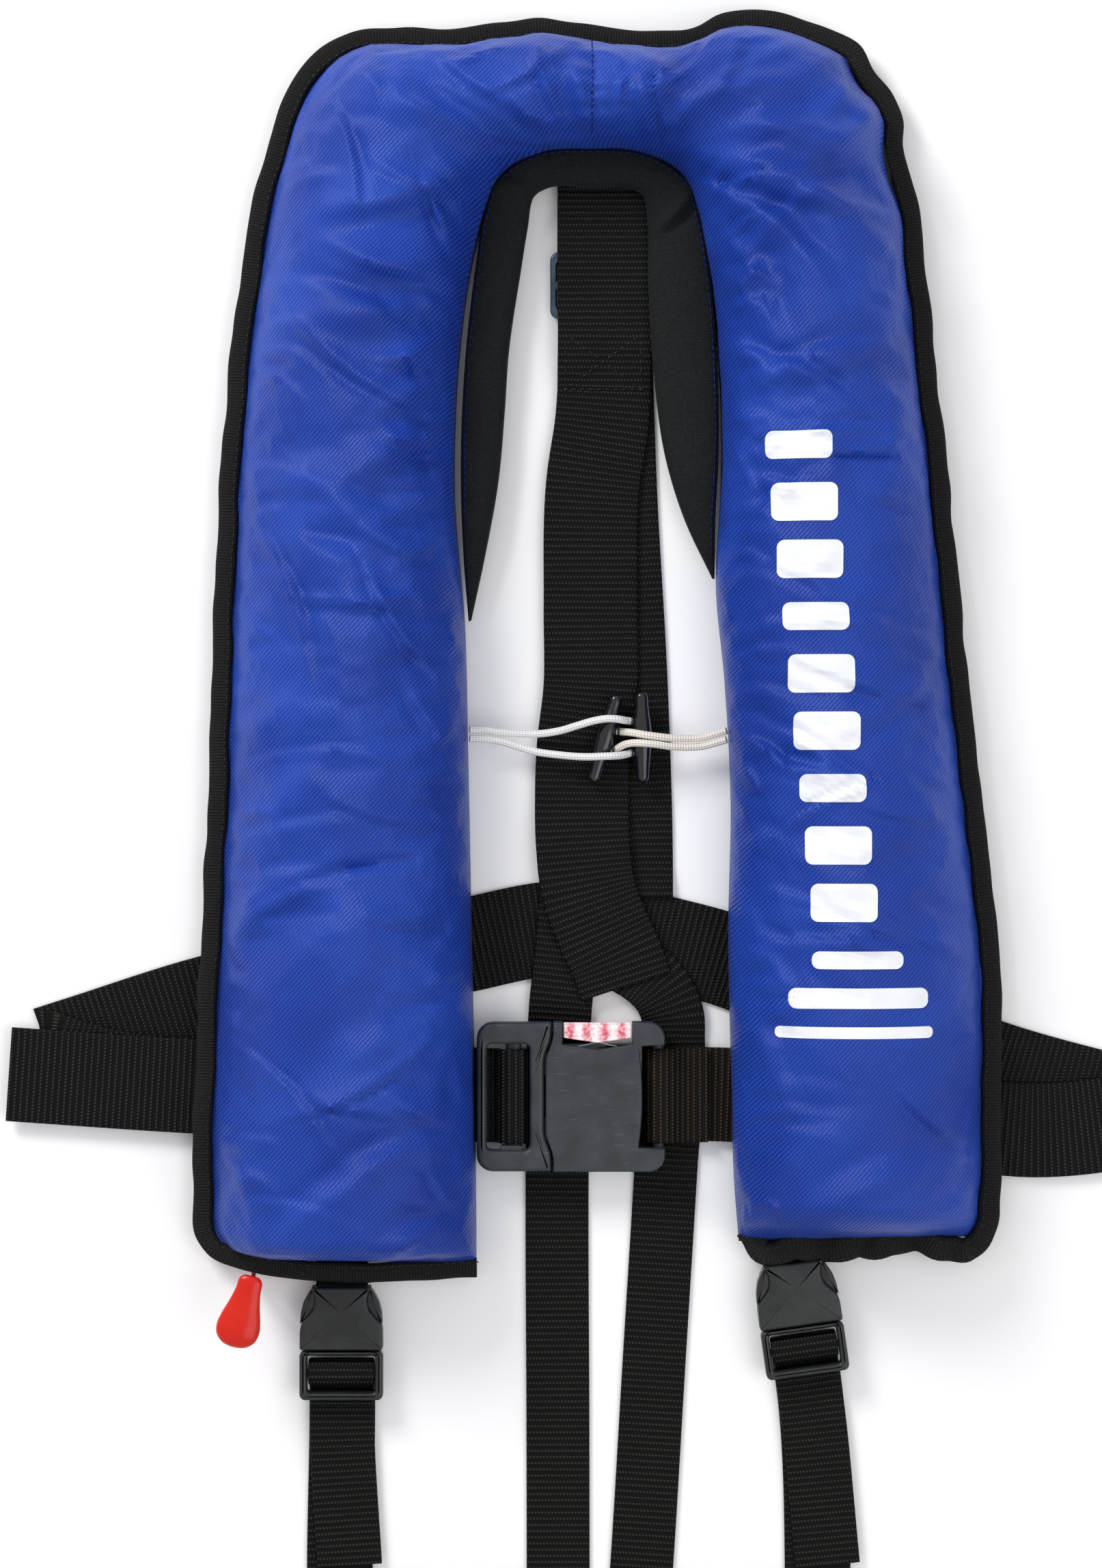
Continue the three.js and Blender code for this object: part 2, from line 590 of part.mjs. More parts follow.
/** Webbing wrapped once round a bar that runs along Y. */
function wrapRound(barX, barZ, halfX, halfZ, middleY) {
  const inner = GAP;
  const outer = GAP + WEB_THICKNESS;
  const y0 = middleY - BELT_WIDTH / 2;
  const y1 = middleY + BELT_WIDTH / 2;
  const outside = block(barX - halfX - outer, barX + halfX + outer, y0, y1,
    barZ - halfZ - outer, barZ + halfZ + outer);
  const inside = block(barX - halfX - inner, barX + halfX + inner, y0 - 1, y1 + 1,
    barZ - halfZ - inner, barZ + halfZ + inner);
  return cut(outside, inside);
}

function addWaistBelt() {
  const leftRun = [
    [0, BELT_BACK_Y], [-22, BELT_BACK_Y - 2.5], [-50, BELT_BACK_Y - 8.5],
    [-100, BELT_BACK_Y - 19], [-157.5, BELT_BACK_Y - 32.5], [LEFT_FOLD_X, WAIST_Y + 15],
  ];
  const back = webbing(strip(leftRun, BELT_WIDTH), "x", [[LEFT_FOLD_X, 0], [0, 0]]);
  const tabHalfZ = TAB_BAR_THICKNESS / 2;
  const frontRun = [
    [LEFT_FOLD_X, WAIST_Y + 7.5], [-160, WAIST_Y + 3.5], [-60, WAIST_Y], [TAB_BAR_X, WAIST_Y],
  ];
  const front = webbing(strip(frontRun, BELT_WIDTH), "x", [[LEFT_FOLD_X, level(1)], [0, level(1)]]);
  const turn = block(LEFT_FOLD_X - 2, LEFT_FOLD_X + 2, WAIST_Y - 5, WAIST_Y + 28, 0,
    level(1) + WEB_THICKNESS);
  const loop = wrapRound(TAB_BAR_X, TAB_BAR_Z, TAB_BAR_HALF, tabHalfZ, WAIST_Y);
  const riser = block(TAB_BAR_X - 2, TAB_BAR_X, WAIST_Y - BELT_WIDTH / 2, WAIST_Y + BELT_WIDTH / 2,
    level(1), TAB_BAR_Z - tabHalfZ - GAP);
  add("waist_belt_left", join(back, front, turn, loop, riser), "webbing");

  const tailRun = [
    [-BELT_HALF_SPAN, WAIST_Y + 8.5], [-160, WAIST_Y + 3.5], [-60, WAIST_Y],
    [TAB_BAR_X - 6, WAIST_Y],
  ];
  const tail = webbing(strip(tailRun, BELT_WIDTH), "x",
    [[-BELT_HALF_SPAN, level(2)], [0, level(2)]]);
  add("waist_belt_tail", tail, "webbing");

  const rightRun = [
    [GAP, BELT_BACK_Y], [17, BELT_BACK_Y - 4.6], [54.5, BELT_BACK_Y - 14.5],
    [110, BELT_BACK_Y - 38], [165, BELT_BACK_Y - 59], [232, WAIST_Y - 6],
  ];
  const rightBack = webbing(strip(rightRun, BELT_WIDTH), "x", [[GAP, 0], [BELT_HALF_SPAN, 0]]);
  const rightTurn = block(BELT_HALF_SPAN - 4, BELT_HALF_SPAN, WAIST_Y - 28, WAIST_Y + 10, 0,
    level(1) + WEB_THICKNESS);
  const outerRun = [[150, WAIST_Y - 12], [180, WAIST_Y - 14.4], [232, WAIST_Y - 10]];
  const hidden = webbing(strip(outerRun, BELT_WIDTH), "x",
    [[150, level(1)], [BELT_HALF_SPAN, level(1)]]);
  add("waist_belt_right", join(rightBack, rightTurn, hidden), "webbing");

  const endX = HOUSING_BAR_X;
  const nearRun = [[endX, WAIST_Y], [56, WAIST_Y], [100, WAIST_Y - 5], [150 - GAP, WAIST_Y - 12]];
  const near = webbing(strip(nearRun, BELT_WIDTH), "x", [[endX, level(1)], [150, level(1)]]);
  const doubled = webbing(strip([[endX, WAIST_Y], [47, WAIST_Y]], BELT_WIDTH), "x",
    [[endX, level(1)], [47, level(1) + GAP + WEB_THICKNESS / 2]]);
  const housingLoop = wrapRound(endX, HOUSING_BAR_Z, HOUSING_BAR_HALF, HOUSING_BAR_HALF / 2 + 0.5,
    WAIST_Y);
  const link = block(endX, endX + HOUSING_BAR_HALF, WAIST_Y - BELT_WIDTH / 2,
    WAIST_Y + BELT_WIDTH / 2, level(1), HOUSING_BAR_Z - HOUSING_BAR_HALF / 2 - 0.5 - GAP);
  add("waist_belt_buckle_end", join(near, doubled, housingLoop, link), "webbing");
}

/** A plan rectangle with rounded corners: radius r on the chosen side ("low" or "high" x). */
function roundedPlate(x0, x1, y0, y1, r, side) {
  const shape = new THREE.Shape();
  const low = side === "low" ? r : 0;
  const high = side === "high" ? r : 0;
  shape.moveTo(x0 + low, y0);
  shape.lineTo(x1 - high, y0);
  if (high) shape.absarc(x1 - r, y0 + r, r, -Math.PI / 2, 0, false);
  shape.lineTo(x1, y1 - high);
  if (high) shape.absarc(x1 - r, y1 - r, r, 0, Math.PI / 2, false);
  shape.lineTo(x0 + low, y1);
  if (low) shape.absarc(x0 + r, y1 - r, r, Math.PI / 2, Math.PI, false);
  shape.lineTo(x0, y0 + low);
  if (low) shape.absarc(x0 + r, y0 + r, r, Math.PI, 1.5 * Math.PI, false);
  return shape.getPoints(5).map((p) => [p.x, p.y]);
}

function addMainBuckle() {
  const half = BUCKLE_WIDTH / 2;
  const y0 = WAIST_Y - half;
  const y1 = WAIST_Y + half;
  const tabLeft = PARTING_X - BUCKLE_TAB_LENGTH;
  const prongHalf = 18;
  const prongZ0 = TAB_BAR_Z - PRONG_THICKNESS / 2;
  const prongZ1 = TAB_BAR_Z + PRONG_THICKNESS / 2;
  const openHalf = BELT_WIDTH / 2 + 2.5;
  const tabFrame = slab(roundedPlate(tabLeft, PARTING_X - GAP, y0, y1, 6.5, "low"), TAB_BOTTOM,
    BUCKLE_TOP - 1);
  const tabSlot = block(TAB_BAR_X - 11, TAB_BAR_X + 7, WAIST_Y - openHalf, WAIST_Y + openHalf, 0,
    BUCKLE_TOP + 1);
  const tabBar = block(TAB_BAR_X - TAB_BAR_HALF, TAB_BAR_X + TAB_BAR_HALF, WAIST_Y - openHalf - 1,
    WAIST_Y + openHalf + 1, TAB_BAR_Z - TAB_BAR_THICKNESS / 2, TAB_BAR_Z + TAB_BAR_THICKNESS / 2);
  const prong = block(PARTING_X - 2, PARTING_X + PRONG_LENGTH, WAIST_Y - prongHalf,
    WAIST_Y + prongHalf, prongZ0, prongZ1);
  const between = block(PARTING_X + 4, PARTING_X + PRONG_LENGTH + 1, WAIST_Y - 8, WAIST_Y + 8, 0,
    BUCKLE_TOP);
  add("buckle_tab", join(cut(tabFrame, tabSlot), tabBar, cut(prong, between)), "buckle");

  const right = PARTING_X + BUCKLE_HOUSING_LENGTH;
  const shell = slab(roundedPlate(PARTING_X, right, y0, y1, 6.5, "high"), BUCKLE_BOTTOM,
    BUCKLE_TOP);
  const socket = block(PARTING_X - 1, PARTING_X + PRONG_LENGTH + 2,
    WAIST_Y - prongHalf - BUCKLE_CLEARANCE, WAIST_Y + prongHalf + BUCKLE_CLEARANCE,
    prongZ0 - BUCKLE_CLEARANCE, prongZ1 + BUCKLE_CLEARANCE);
  const slotLeft = PARTING_X + BUCKLE_HOUSING_LENGTH - 9.8;
  const endSlot = block(slotLeft, right + 1, WAIST_Y - BELT_WIDTH / 2 - 1.5,
    WAIST_Y + BELT_WIDTH / 2 + 1.5, 0, BUCKLE_TOP + 1);
  const endBar = block(HOUSING_BAR_X - HOUSING_BAR_HALF, HOUSING_BAR_X + HOUSING_BAR_HALF,
    WAIST_Y - BELT_WIDTH / 2 - 2, WAIST_Y + BELT_WIDTH / 2 + 2,
    HOUSING_BAR_Z - HOUSING_BAR_HALF / 2 - 0.5, HOUSING_BAR_Z + HOUSING_BAR_HALF / 2 + 0.5);
  const buttonX = PARTING_X + 5.2;
  const pocket = block(buttonX - BUCKLE_CLEARANCE, buttonX + BUTTON_LENGTH + BUCKLE_CLEARANCE,
    y1 - BUTTON_DEPTH - BUTTON_TRAVEL - 0.4, y1 + 1,
    BUCKLE_BOTTOM + BUCKLE_WALL - BUCKLE_CLEARANCE, BUCKLE_TOP + 1);
  add("buckle_housing", join(cut(shell, socket, endSlot, pocket), endBar), "buckle");

  const button = slab(
    [
      [buttonX, y1], [buttonX + BUTTON_LENGTH, y1], [buttonX + BUTTON_LENGTH, y1 - BUTTON_DEPTH + 2],
      [buttonX + BUTTON_LENGTH / 2, y1 - BUTTON_DEPTH], [buttonX, y1 - BUTTON_DEPTH + 2],
    ],
    BUCKLE_BOTTOM + BUCKLE_WALL, BUCKLE_TOP - 1,
  );
  add("release_button", button, "button");

  const springY = y1 - BUTTON_DEPTH - BUTTON_TRAVEL - 0.1;
  const middle = buttonX + BUTTON_LENGTH / 2;
  const springPlan = [
    [middle - 10, springY + 0.1], [middle, springY + BUTTON_TRAVEL - 0.2],
    [middle + 10, springY + 0.1], [middle + 10, springY + 0.5],
    [middle, springY + BUTTON_TRAVEL + 0.2 - GAP / 2], [middle - 10, springY + 0.5],
  ];
  add("button_spring", slab(springPlan, TAB_BAR_Z - 1.5, TAB_BAR_Z + 3), "steel");
}

// ---- crotch straps with their side-release buckles
/** Everything of one crotch strap's side-release buckle, in a frame centred on its parting line. */
function addCrotchBuckle(side, x, y, turn) {
  const group = new THREE.Group();
  group.position.set(x, y, 0);
  group.rotation.z = turn;
  jacket.add(group);
  const half = SIDE_BUCKLE_WIDTH / 2;
  const bottom = level(1) + GAP;
  const frameBottom = level(2);
  const prongOuter = half - 2;
  const prongZ0 = 5.2;
  const prongZ1 = 9.8;
  const openHalf = CROTCH_WIDTH / 2 + 1;

  const shell = block(-half, half, GAP, SIDE_SOCKET_LENGTH - 7, bottom, SIDE_BUCKLE_TOP);
  const neck = block(-half + 4, half - 4, GAP, SIDE_SOCKET_LENGTH, bottom + SOCKET_NECK_STEP,
    SIDE_BUCKLE_TOP - 3);
  const cavity = block(-prongOuter - GAP, prongOuter + GAP, GAP - 1, SIDE_PRONG_LENGTH + 1,
    prongZ0 - GAP, prongZ1 + GAP);
  const notches = [-1, 1].map((sign) => {
    const inner = sign * (half - 3.5);
    const outer = sign * (half + 1);
    return block(Math.min(inner, outer), Math.max(inner, outer), 6, 15, 0, SIDE_BUCKLE_TOP + 1);
  });
  const tabSlot = block(-half + 5.5, half - 5.5, SIDE_SOCKET_LENGTH - SOCKET_BAR - SOCKET_SLOT,
    SIDE_SOCKET_LENGTH - SOCKET_BAR, 0, SIDE_BUCKLE_TOP);
  add(`crotch_socket_${side}`, cut(join(shell, neck), cavity, ...notches, tabSlot), "buckle", group);

  const frame = block(-half, half, -SIDE_PLUG_LENGTH, 0, frameBottom, SIDE_BUCKLE_TOP - 0.8);
  const window = block(-openHalf, openHalf, -SIDE_PLUG_LENGTH + 3.3, -2, 0, SIDE_BUCKLE_TOP);
  const bar = block(-openHalf - 1, openHalf + 1, PLUG_BAR_Y - PLUG_BAR_HALF,
    PLUG_BAR_Y + PLUG_BAR_HALF, PLUG_BAR_Z - PLUG_BAR_HALF, PLUG_BAR_Z + PLUG_BAR_HALF);
  const prongs = [-1, 1].map((sign) => {
    const inner = sign * (prongOuter - 4);
    const outer = sign * prongOuter;
    return block(Math.min(inner, outer), Math.max(inner, outer), -1, SIDE_PRONG_LENGTH, prongZ0,
      prongZ1);
  });
  const tongue = block(-2.5, 2.5, -1, SIDE_PRONG_LENGTH - 4, prongZ0, prongZ1);
  add(`crotch_plug_${side}`, join(cut(frame, window), bar, ...prongs, tongue), "buckle", group);

  return group;
}

const CROTCH_TAB_SHARE = 0.75; // how far a tab reaches from its socket towards the waist belt
const BELT_FALL = 12; // how much lower the belt runs beside the buckle
const SOCKET_NECK_STEP = 1;
const SOCKET_BAR = 2.6;
const SOCKET_SLOT = 3.4;
const PLUG_BAR_Y = -9.3;
const PLUG_BAR_HALF = 1.6;
const PLUG_BAR_Z = 8.4;

/** The short webbing tab that holds a socket to the bottom of its lobe, below the waist belt. */
function addCrotchTab(side, group) {
  const half = SIDE_BUCKLE_WIDTH / 2 - 6.3;
  const beltLow = WAIST_Y - BELT_FALL - BELT_WIDTH / 2 - group.position.y;
  const hold = CROTCH_TAB_SHARE * (beltLow - SIDE_SOCKET_LENGTH);
  const lobeEnd = SIDE_SOCKET_LENGTH + hold;
  const barBottom = level(1) + GAP + SOCKET_NECK_STEP;
  const low = barBottom - GAP - WEB_THICKNESS;
  const slotY = SIDE_SOCKET_LENGTH - SOCKET_BAR - SOCKET_SLOT / 2 - WEB_THICKNESS / 2;
  const run = block(-half, half, slotY, lobeEnd, low, low + WEB_THICKNESS);
  const riser = block(-half, half, slotY, slotY + WEB_THICKNESS, low, SIDE_BUCKLE_TOP - 1);
  const sewnEnd = block(-half, half, lobeEnd - hold / 3, lobeEnd, low, PANEL_Z - GAP);
  add(`crotch_tab_${side}`, join(run, riser, sewnEnd), "webbing", group);
}

const RAMP_Y = WAIST_Y + BUCKLE_WIDTH / 2 + 5; // the crotch straps step down off the belt here

/** One crotch strap: from under the back strap, down, across, and up to its plug. */
function addCrotchStrap(side, downLine, plug) {
  const sign = side === "left" ? -1 : 1;
  const half = CROTCH_WIDTH / 2;
  const topY = downLine[0][1];
  const down = webbing(strip(downLine, CROTCH_WIDTH), "y", [
    [topY + 1, level(1)], [RAMP_Y, level(1)], [RAMP_Y - 4.8, level(0)], [CROTCH_END_Y, level(0)],
  ]);
  const [downX] = downLine[downLine.length - 1];
  const outerX = plug.x + sign * (half + 1);
  const [low, high] = [outerX, downX - sign * half].sort((a, b) => a - b);
  const across = block(low, high, CROTCH_END_Y, CROTCH_END_Y + CROTCH_WIDTH, level(1),
    level(1) + WEB_THICKNESS);
  const foldDown = block(downX - half, downX + half, CROTCH_END_Y, CROTCH_END_Y + 2, 0,
    level(1) + WEB_THICKNESS);
  const upX = plug.x + sign * 1;
  const barWorld = plug.place(0, PLUG_BAR_Y);
  const upLine = [[upX + plug.lean, CROTCH_END_Y], barWorld];
  const upPlan = strip(upLine, CROTCH_WIDTH);
  const up = webbing(upPlan, "y", [[barWorld[1], level(0)], [CROTCH_END_Y, level(0)]]);
  const foldUp = block(upX + plug.lean - half, upX + plug.lean + half, CROTCH_END_Y,
    CROTCH_END_Y + 2, 0, level(1) + WEB_THICKNESS);
  add(`crotch_strap_${side}`, join(down, across, foldDown, up, foldUp), "webbing");

  const tailEnd = CROTCH_END_Y + CROTCH_WIDTH + 6;
  const tailShift = -sign * 6;
  const tailPlan = strip([[upX + plug.lean + tailShift, tailEnd], plug.place(0, PLUG_BAR_Y - 5)],
    CROTCH_WIDTH - 1);
  const tail = webbing(tailPlan, "y", [[plug.y, level(1)], [tailEnd, level(1)]]);
  add(`crotch_strap_tail_${side}`, tail, "webbing");
}

function addCrotchStraps() {
  const places = {
    left: { x: -100.7, drop: 27.3, turn: 0, lean: 0, bottom: LEFT_BOTTOM_Y },
    right: { x: 84.5, drop: 28.4, turn: THREE.MathUtils.degToRad(8), lean: 6, bottom: RIGHT_BOTTOM_Y },
  };
  const lines = {
    left: [[-8, -24], [-11, -58], [-14, -100], [-13.8, -140], [-13.4, CROTCH_END_Y]],
    right: [[20, -24], [31, -58], [33, -90], [30.2, -137], [20.5, -296], [18.5, CROTCH_END_Y]],
  };
  for (const side of ["left", "right"]) {
    const { x, drop, turn, lean, bottom } = places[side];
    const y = bottom - drop;
    addCrotchTab(side, addCrotchBuckle(side, x, y, turn));
    const place = (localX, localY) => [
      x + localX * Math.cos(turn) - localY * Math.sin(turn),
      y + localX * Math.sin(turn) + localY * Math.cos(turn),
    ];
    addCrotchStrap(side, lines[side], { x, y, lean, place });
  }
}

// ---- toggles and their cords over the back strap
const TOGGLE_Z = level(1) + WEB_THICKNESS + GAP + TOGGLE_RADIUS;
const TOGGLES = {
  left: { x: 5.5, y: 37, turn: THREE.MathUtils.degToRad(-15.5), spread: 4 },
  right: { x: 20.4, y: 37.5, turn: THREE.MathUtils.degToRad(1), spread: 6.2 },
};

function addToggle(side) {
  const { x, y, turn, spread } = TOGGLES[side];
  const half = TOGGLE_LENGTH / 2;
  const spindle = turned(
    [
      [0, -half], [TOGGLE_END_RADIUS, -half], [TOGGLE_END_RADIUS + 0.5, -half + 1.2],
      [TOGGLE_RADIUS * 0.93, -half * 0.45], [TOGGLE_RADIUS, 0], [TOGGLE_RADIUS * 0.93, half * 0.45],
      [TOGGLE_END_RADIUS + 0.5, half - 1.2], [TOGGLE_END_RADIUS, half], [0, half],
    ],
    0, 0, 20,
  );
  const cordSide = side === "left" ? 1 : -1;
  const bore = CORD_DIAMETER / 2 + 1.5 * GAP;
  const holes = [-1, 1].map((sign) => {
    const from = Math.min(0, cordSide * 2 * TOGGLE_RADIUS);
    const to = Math.max(0, cordSide * 2 * TOGGLE_RADIUS);
    return rod("x", from, to, sign * spread, 0, bore, 12);
  });
  const group = new THREE.Group();
  group.position.set(x, y, TOGGLE_Z);
  group.rotation.z = turn;
  jacket.add(group);
  add(`toggle_${side}`, cut(spindle, ...holes), "toggle", group);
}

// Each cord leaves its lobe, crosses over the other toggle and ends inside its own.
const CORD_ROUTES = {
  left_upper: [
    [-49.0, 40.6, 12.5], [-43, 40.4, 11.6], [-36, 39.4, 10.2], [-28, 38.8, 9.2], [-20, 38.9, 9.2],
    [-12, 40.2, 10.8], [-5, 42.3, 13.4], [1, 44.0, 14.6], [6, 44.8, 14.7], [10, 44.7, 13.8],
    [12.8, 44.3, 11.4], [14.8, 44, 8.8], [16.4, 43.8, 8.3], [18.8, 43.7, 8.3],
  ],
  left_lower: [
    [-49.0, 36.9, 12.3], [-43, 36.7, 11.4], [-36, 35.6, 10.0], [-29.5, 33.6, 9.0],
    [-22.5, 31.6, 8.8], [-14, 30.4, 10.0], [-7, 29.7, 12.6], [-1, 29.5, 14.4], [4, 29.7, 14.6],
    [9, 29.9, 13.4], [12.2, 30.2, 11.0], [14.6, 30.8, 8.9], [16.4, 31.3, 8.3], [18.8, 31.3, 8.3],
  ],
  right_upper: [
    [54.2, 40.0, 12.6], [50, 38.8, 11.6], [44, 37.2, 10.4], [38, 36.9, 10.8], [32, 37.1, 12.2],
    [26, 37.7, 13.9], [20.5, 38.5, 14.4], [16.5, 39.2, 13.0], [13.6, 39.5, 10.6],
    [11.6, 39.7, 8.8], [9.8, 40.0, 8.3], [7.6, 40.6, 8.3],
  ],
  right_lower: [
    [54.2, 36.4, 12.0], [50, 35.2, 11.0], [44, 33.7, 9.8], [38, 33.4, 10.4], [32, 33.7, 12.0],
    [26, 34.5, 13.8], [20.5, 35.0, 14.4], [16, 35.0, 13.0], [12.9, 34.3, 10.6],
    [10.4, 32.9, 8.8], [8.4, 32.0, 8.3], [6.0, 32.6, 8.3],
  ],
};

function addToggles() {
  for (const side of ["left", "right"]) addToggle(side);
  for (const [name, route] of Object.entries(CORD_ROUTES)) {
    add(`toggle_cord_${name}`, tube(route, CORD_DIAMETER, 16), "cord");
  }
}

addCover();
addCollar();
addInflator();
addPullHandle();
addRightLobeFittings();
addBackStrap();
addWaistBelt();
addMainBuckle();
addCrotchStraps();
addToggles();

export default jacket;
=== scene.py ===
"""Inflatable life jacket lying flat on its back, its waist belt and crotch straps closed.

Each piece is a surface made from plan lines and formulas. Most stand for one CAD solid or more;
stitches, printed bars and the crotch straps' far runs stand for none.

Sizes are in millimetres until a mesh is made. x runs across the jacket, y up towards the neck
and z away from the table it lies on.
"""

import logging
from dataclasses import dataclass
from enum import Enum
from typing import Optional, Sequence

import bmesh
import bpy
import numpy as np
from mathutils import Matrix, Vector


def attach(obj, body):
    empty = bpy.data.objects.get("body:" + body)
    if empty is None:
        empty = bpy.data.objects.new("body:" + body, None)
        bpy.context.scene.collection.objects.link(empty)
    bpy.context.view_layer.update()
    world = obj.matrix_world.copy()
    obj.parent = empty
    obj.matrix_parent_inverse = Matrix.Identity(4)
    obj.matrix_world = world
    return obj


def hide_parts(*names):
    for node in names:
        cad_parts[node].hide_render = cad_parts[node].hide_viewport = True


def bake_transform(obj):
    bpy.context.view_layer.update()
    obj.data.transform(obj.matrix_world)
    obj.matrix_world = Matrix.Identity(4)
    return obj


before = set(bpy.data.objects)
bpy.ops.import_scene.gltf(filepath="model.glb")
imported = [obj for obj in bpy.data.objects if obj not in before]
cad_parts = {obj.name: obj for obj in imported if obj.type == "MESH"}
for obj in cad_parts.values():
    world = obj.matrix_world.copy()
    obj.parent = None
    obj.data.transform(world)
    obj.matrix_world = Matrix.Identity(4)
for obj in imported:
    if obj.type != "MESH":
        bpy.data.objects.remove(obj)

MM = 0.001
# Points closer than this, in metres, are welded.
WELD_REACH = 2e-6
LOG = logging.getLogger("life_jacket")
UP = np.array([0.0, 0.0, 1.0])
BELT = 38.0
CROTCH = 25.5
PANEL_Z = 6.3
COVER_Z = 8.1
PARTING_X = -16.6
WAIST_Y = -107.0
TAB_BAR_X = PARTING_X - 14.8
HOUSING_BAR_X = PARTING_X + 43.4

# Middle heights of the first, second and third layer of webbing.
LAYERS = (0.95, 3.05, 5.15)
# The crotch straps' level run, the toggles' middle height and length, and their cords' diameter.
LEVEL_Y = -316.3
TOGGLE_Z = 8.3
TOGGLE_LENGTH = 37.5
CORD = 3.0

Grid = np.ndarray


# ---------------------------------------------------------------- curves and meshes
def resample(line: Grid, count: int) -> Grid:
    """Spread points evenly along a line: each sits at an equal share of the line's length.

    Args:
        line: points, one row each.
        count: how many points come back.

    Returns:
        count points along the same line.
    """
    steps = np.linalg.norm(np.diff(line, axis=0), axis=1)
    along = np.concatenate([[0.0], np.cumsum(steps)])
    places = np.linspace(0.0, along[-1], count)
    return np.stack([np.interp(places, along, column) for column in line.T], axis=1)


def spline(points: Sequence[Sequence[float]], count: int) -> Grid:
    """Draw a smooth curve through points: cubic Hermite spans with chord-length tangents.

    Args:
        points: points to pass through, of two or more coordinates.
        count: how many points come back, evenly spaced.

    Returns:
        count points on the curve.
    """
    knots = np.asarray(points, float)
    chord = np.linalg.norm(np.diff(knots, axis=0), axis=1)
    u = np.concatenate([[0.0], np.cumsum(chord)])
    slope = np.gradient(knots, u, axis=0)
    t = np.linspace(0.0, u[-1], 16 * len(knots))
    k = np.clip(np.searchsorted(u, t, side="right") - 1, 0, len(knots) - 2)
    h = (u[k + 1] - u[k])[:, None]
    s = (t - u[k])[:, None] / h
    fine = (
        (2 * s**3 - 3 * s**2 + 1) * knots[k]
        + (s**3 - 2 * s**2 + s) * h * slope[k]
        + (3 * s**2 - 2 * s**3) * knots[k + 1]
        + (s**3 - s**2) * h * slope[k + 1]
    )
    return resample(fine, count)


def unit(vectors: Grid) -> Grid:
    """Scale each vector to length one."""
    return vectors / np.maximum(np.linalg.norm(vectors, axis=-1, keepdims=True), 1e-9)


def along_line(line: Grid) -> Grid:
    """Distance travelled at each point of a line, from its start."""
    return np.concatenate([[0.0], np.cumsum(np.linalg.norm(np.diff(line, axis=0), axis=1))])


def offset_line(line: Grid, distance: float) -> Grid:
    """Move a plan line sideways: each point goes the distance along its left-hand normal.

    Args:
        line: plan points, in order.
        distance: how far to the left of the direction of travel.

    Returns:
        the moved points.
    """
    direction = unit(np.gradient(line[:, :2], axis=0))
    moved = line.copy()
    moved[:, :2] += distance * np.stack([-direction[:, 1], direction[:, 0]], axis=1)
    return moved


def ripple(place: Grid, pitch: float, seed: int) -> Grid:
    """Irregular wave along a length: five sines of nearby pitches with seeded phases.

    Args:
        place: distance along the piece.
        pitch: average distance between crests.
        seed: picks the phases.

    Returns:
        values from about -1 to 1.
    """
    dice = np.random.default_rng(seed)
    pitches = pitch * dice.uniform(0.6, 2.1, 5)
    phases = dice.uniform(0, 2 * np.pi, 5)
    waves = np.sin(2 * np.pi * place[..., None] / pitches + phases)
    return waves.mean(axis=-1) * 1.6


@dataclass
class Patch:
    """One sheet of a mesh: a grid of points with the grid of its cloth coordinates."""

    points: Grid
    cloth: Optional[Grid] = None


Part = tuple[Patch, list[Grid]]


def quads_of(index: Grid) -> list[list[int]]:
    """Four-sided faces between neighbours of a grid of point numbers, over its last two axes."""
    corners = (index[..., :-1, :-1], index[..., 1:, :-1], index[..., 1:, 1:], index[..., :-1, 1:])
    return np.stack(corners, -1).reshape(-1, 4).tolist()


def coordinates(mesh: bpy.types.Mesh) -> Grid:
    """Read a mesh's points, one row each, in metres."""
    flat = np.zeros(len(mesh.vertices) * 3)
    mesh.vertices.foreach_get("co", flat)
    return flat.reshape(-1, 3)


def welded(name: str, mesh: bpy.types.Mesh, finish: "Finish", sharp: Optional[float] = None,
           outward: bool = True) -> bpy.types.Object:
    """Weld a mesh's touching points, smooth it, and put it in the scene with its finish.

    Args:
        name: the object's name.
        mesh: its points and faces.
        finish: what the surface is made of.
        sharp: angle in degrees above which an edge stays crisp; left out, none does.
        outward: whether the shell is closed, so that its faces can be turned outwards.

    Returns:
        the new object, at the origin.
    """
    weld = bmesh.new()
    weld.from_mesh(mesh)
    bmesh.ops.remove_doubles(weld, verts=weld.verts, dist=WELD_REACH)
    if outward:
        bmesh.ops.recalc_face_normals(weld, faces=weld.faces)
    weld.to_mesh(mesh)
    weld.free()
    mesh.shade_smooth()
    if sharp is not None:
        mesh.set_sharp_from_angle(angle=np.radians(sharp))
    made = bpy.data.objects.new(name, mesh)
    bpy.context.scene.collection.objects.link(made)
    made.data.materials.append(finish.material())
    return made


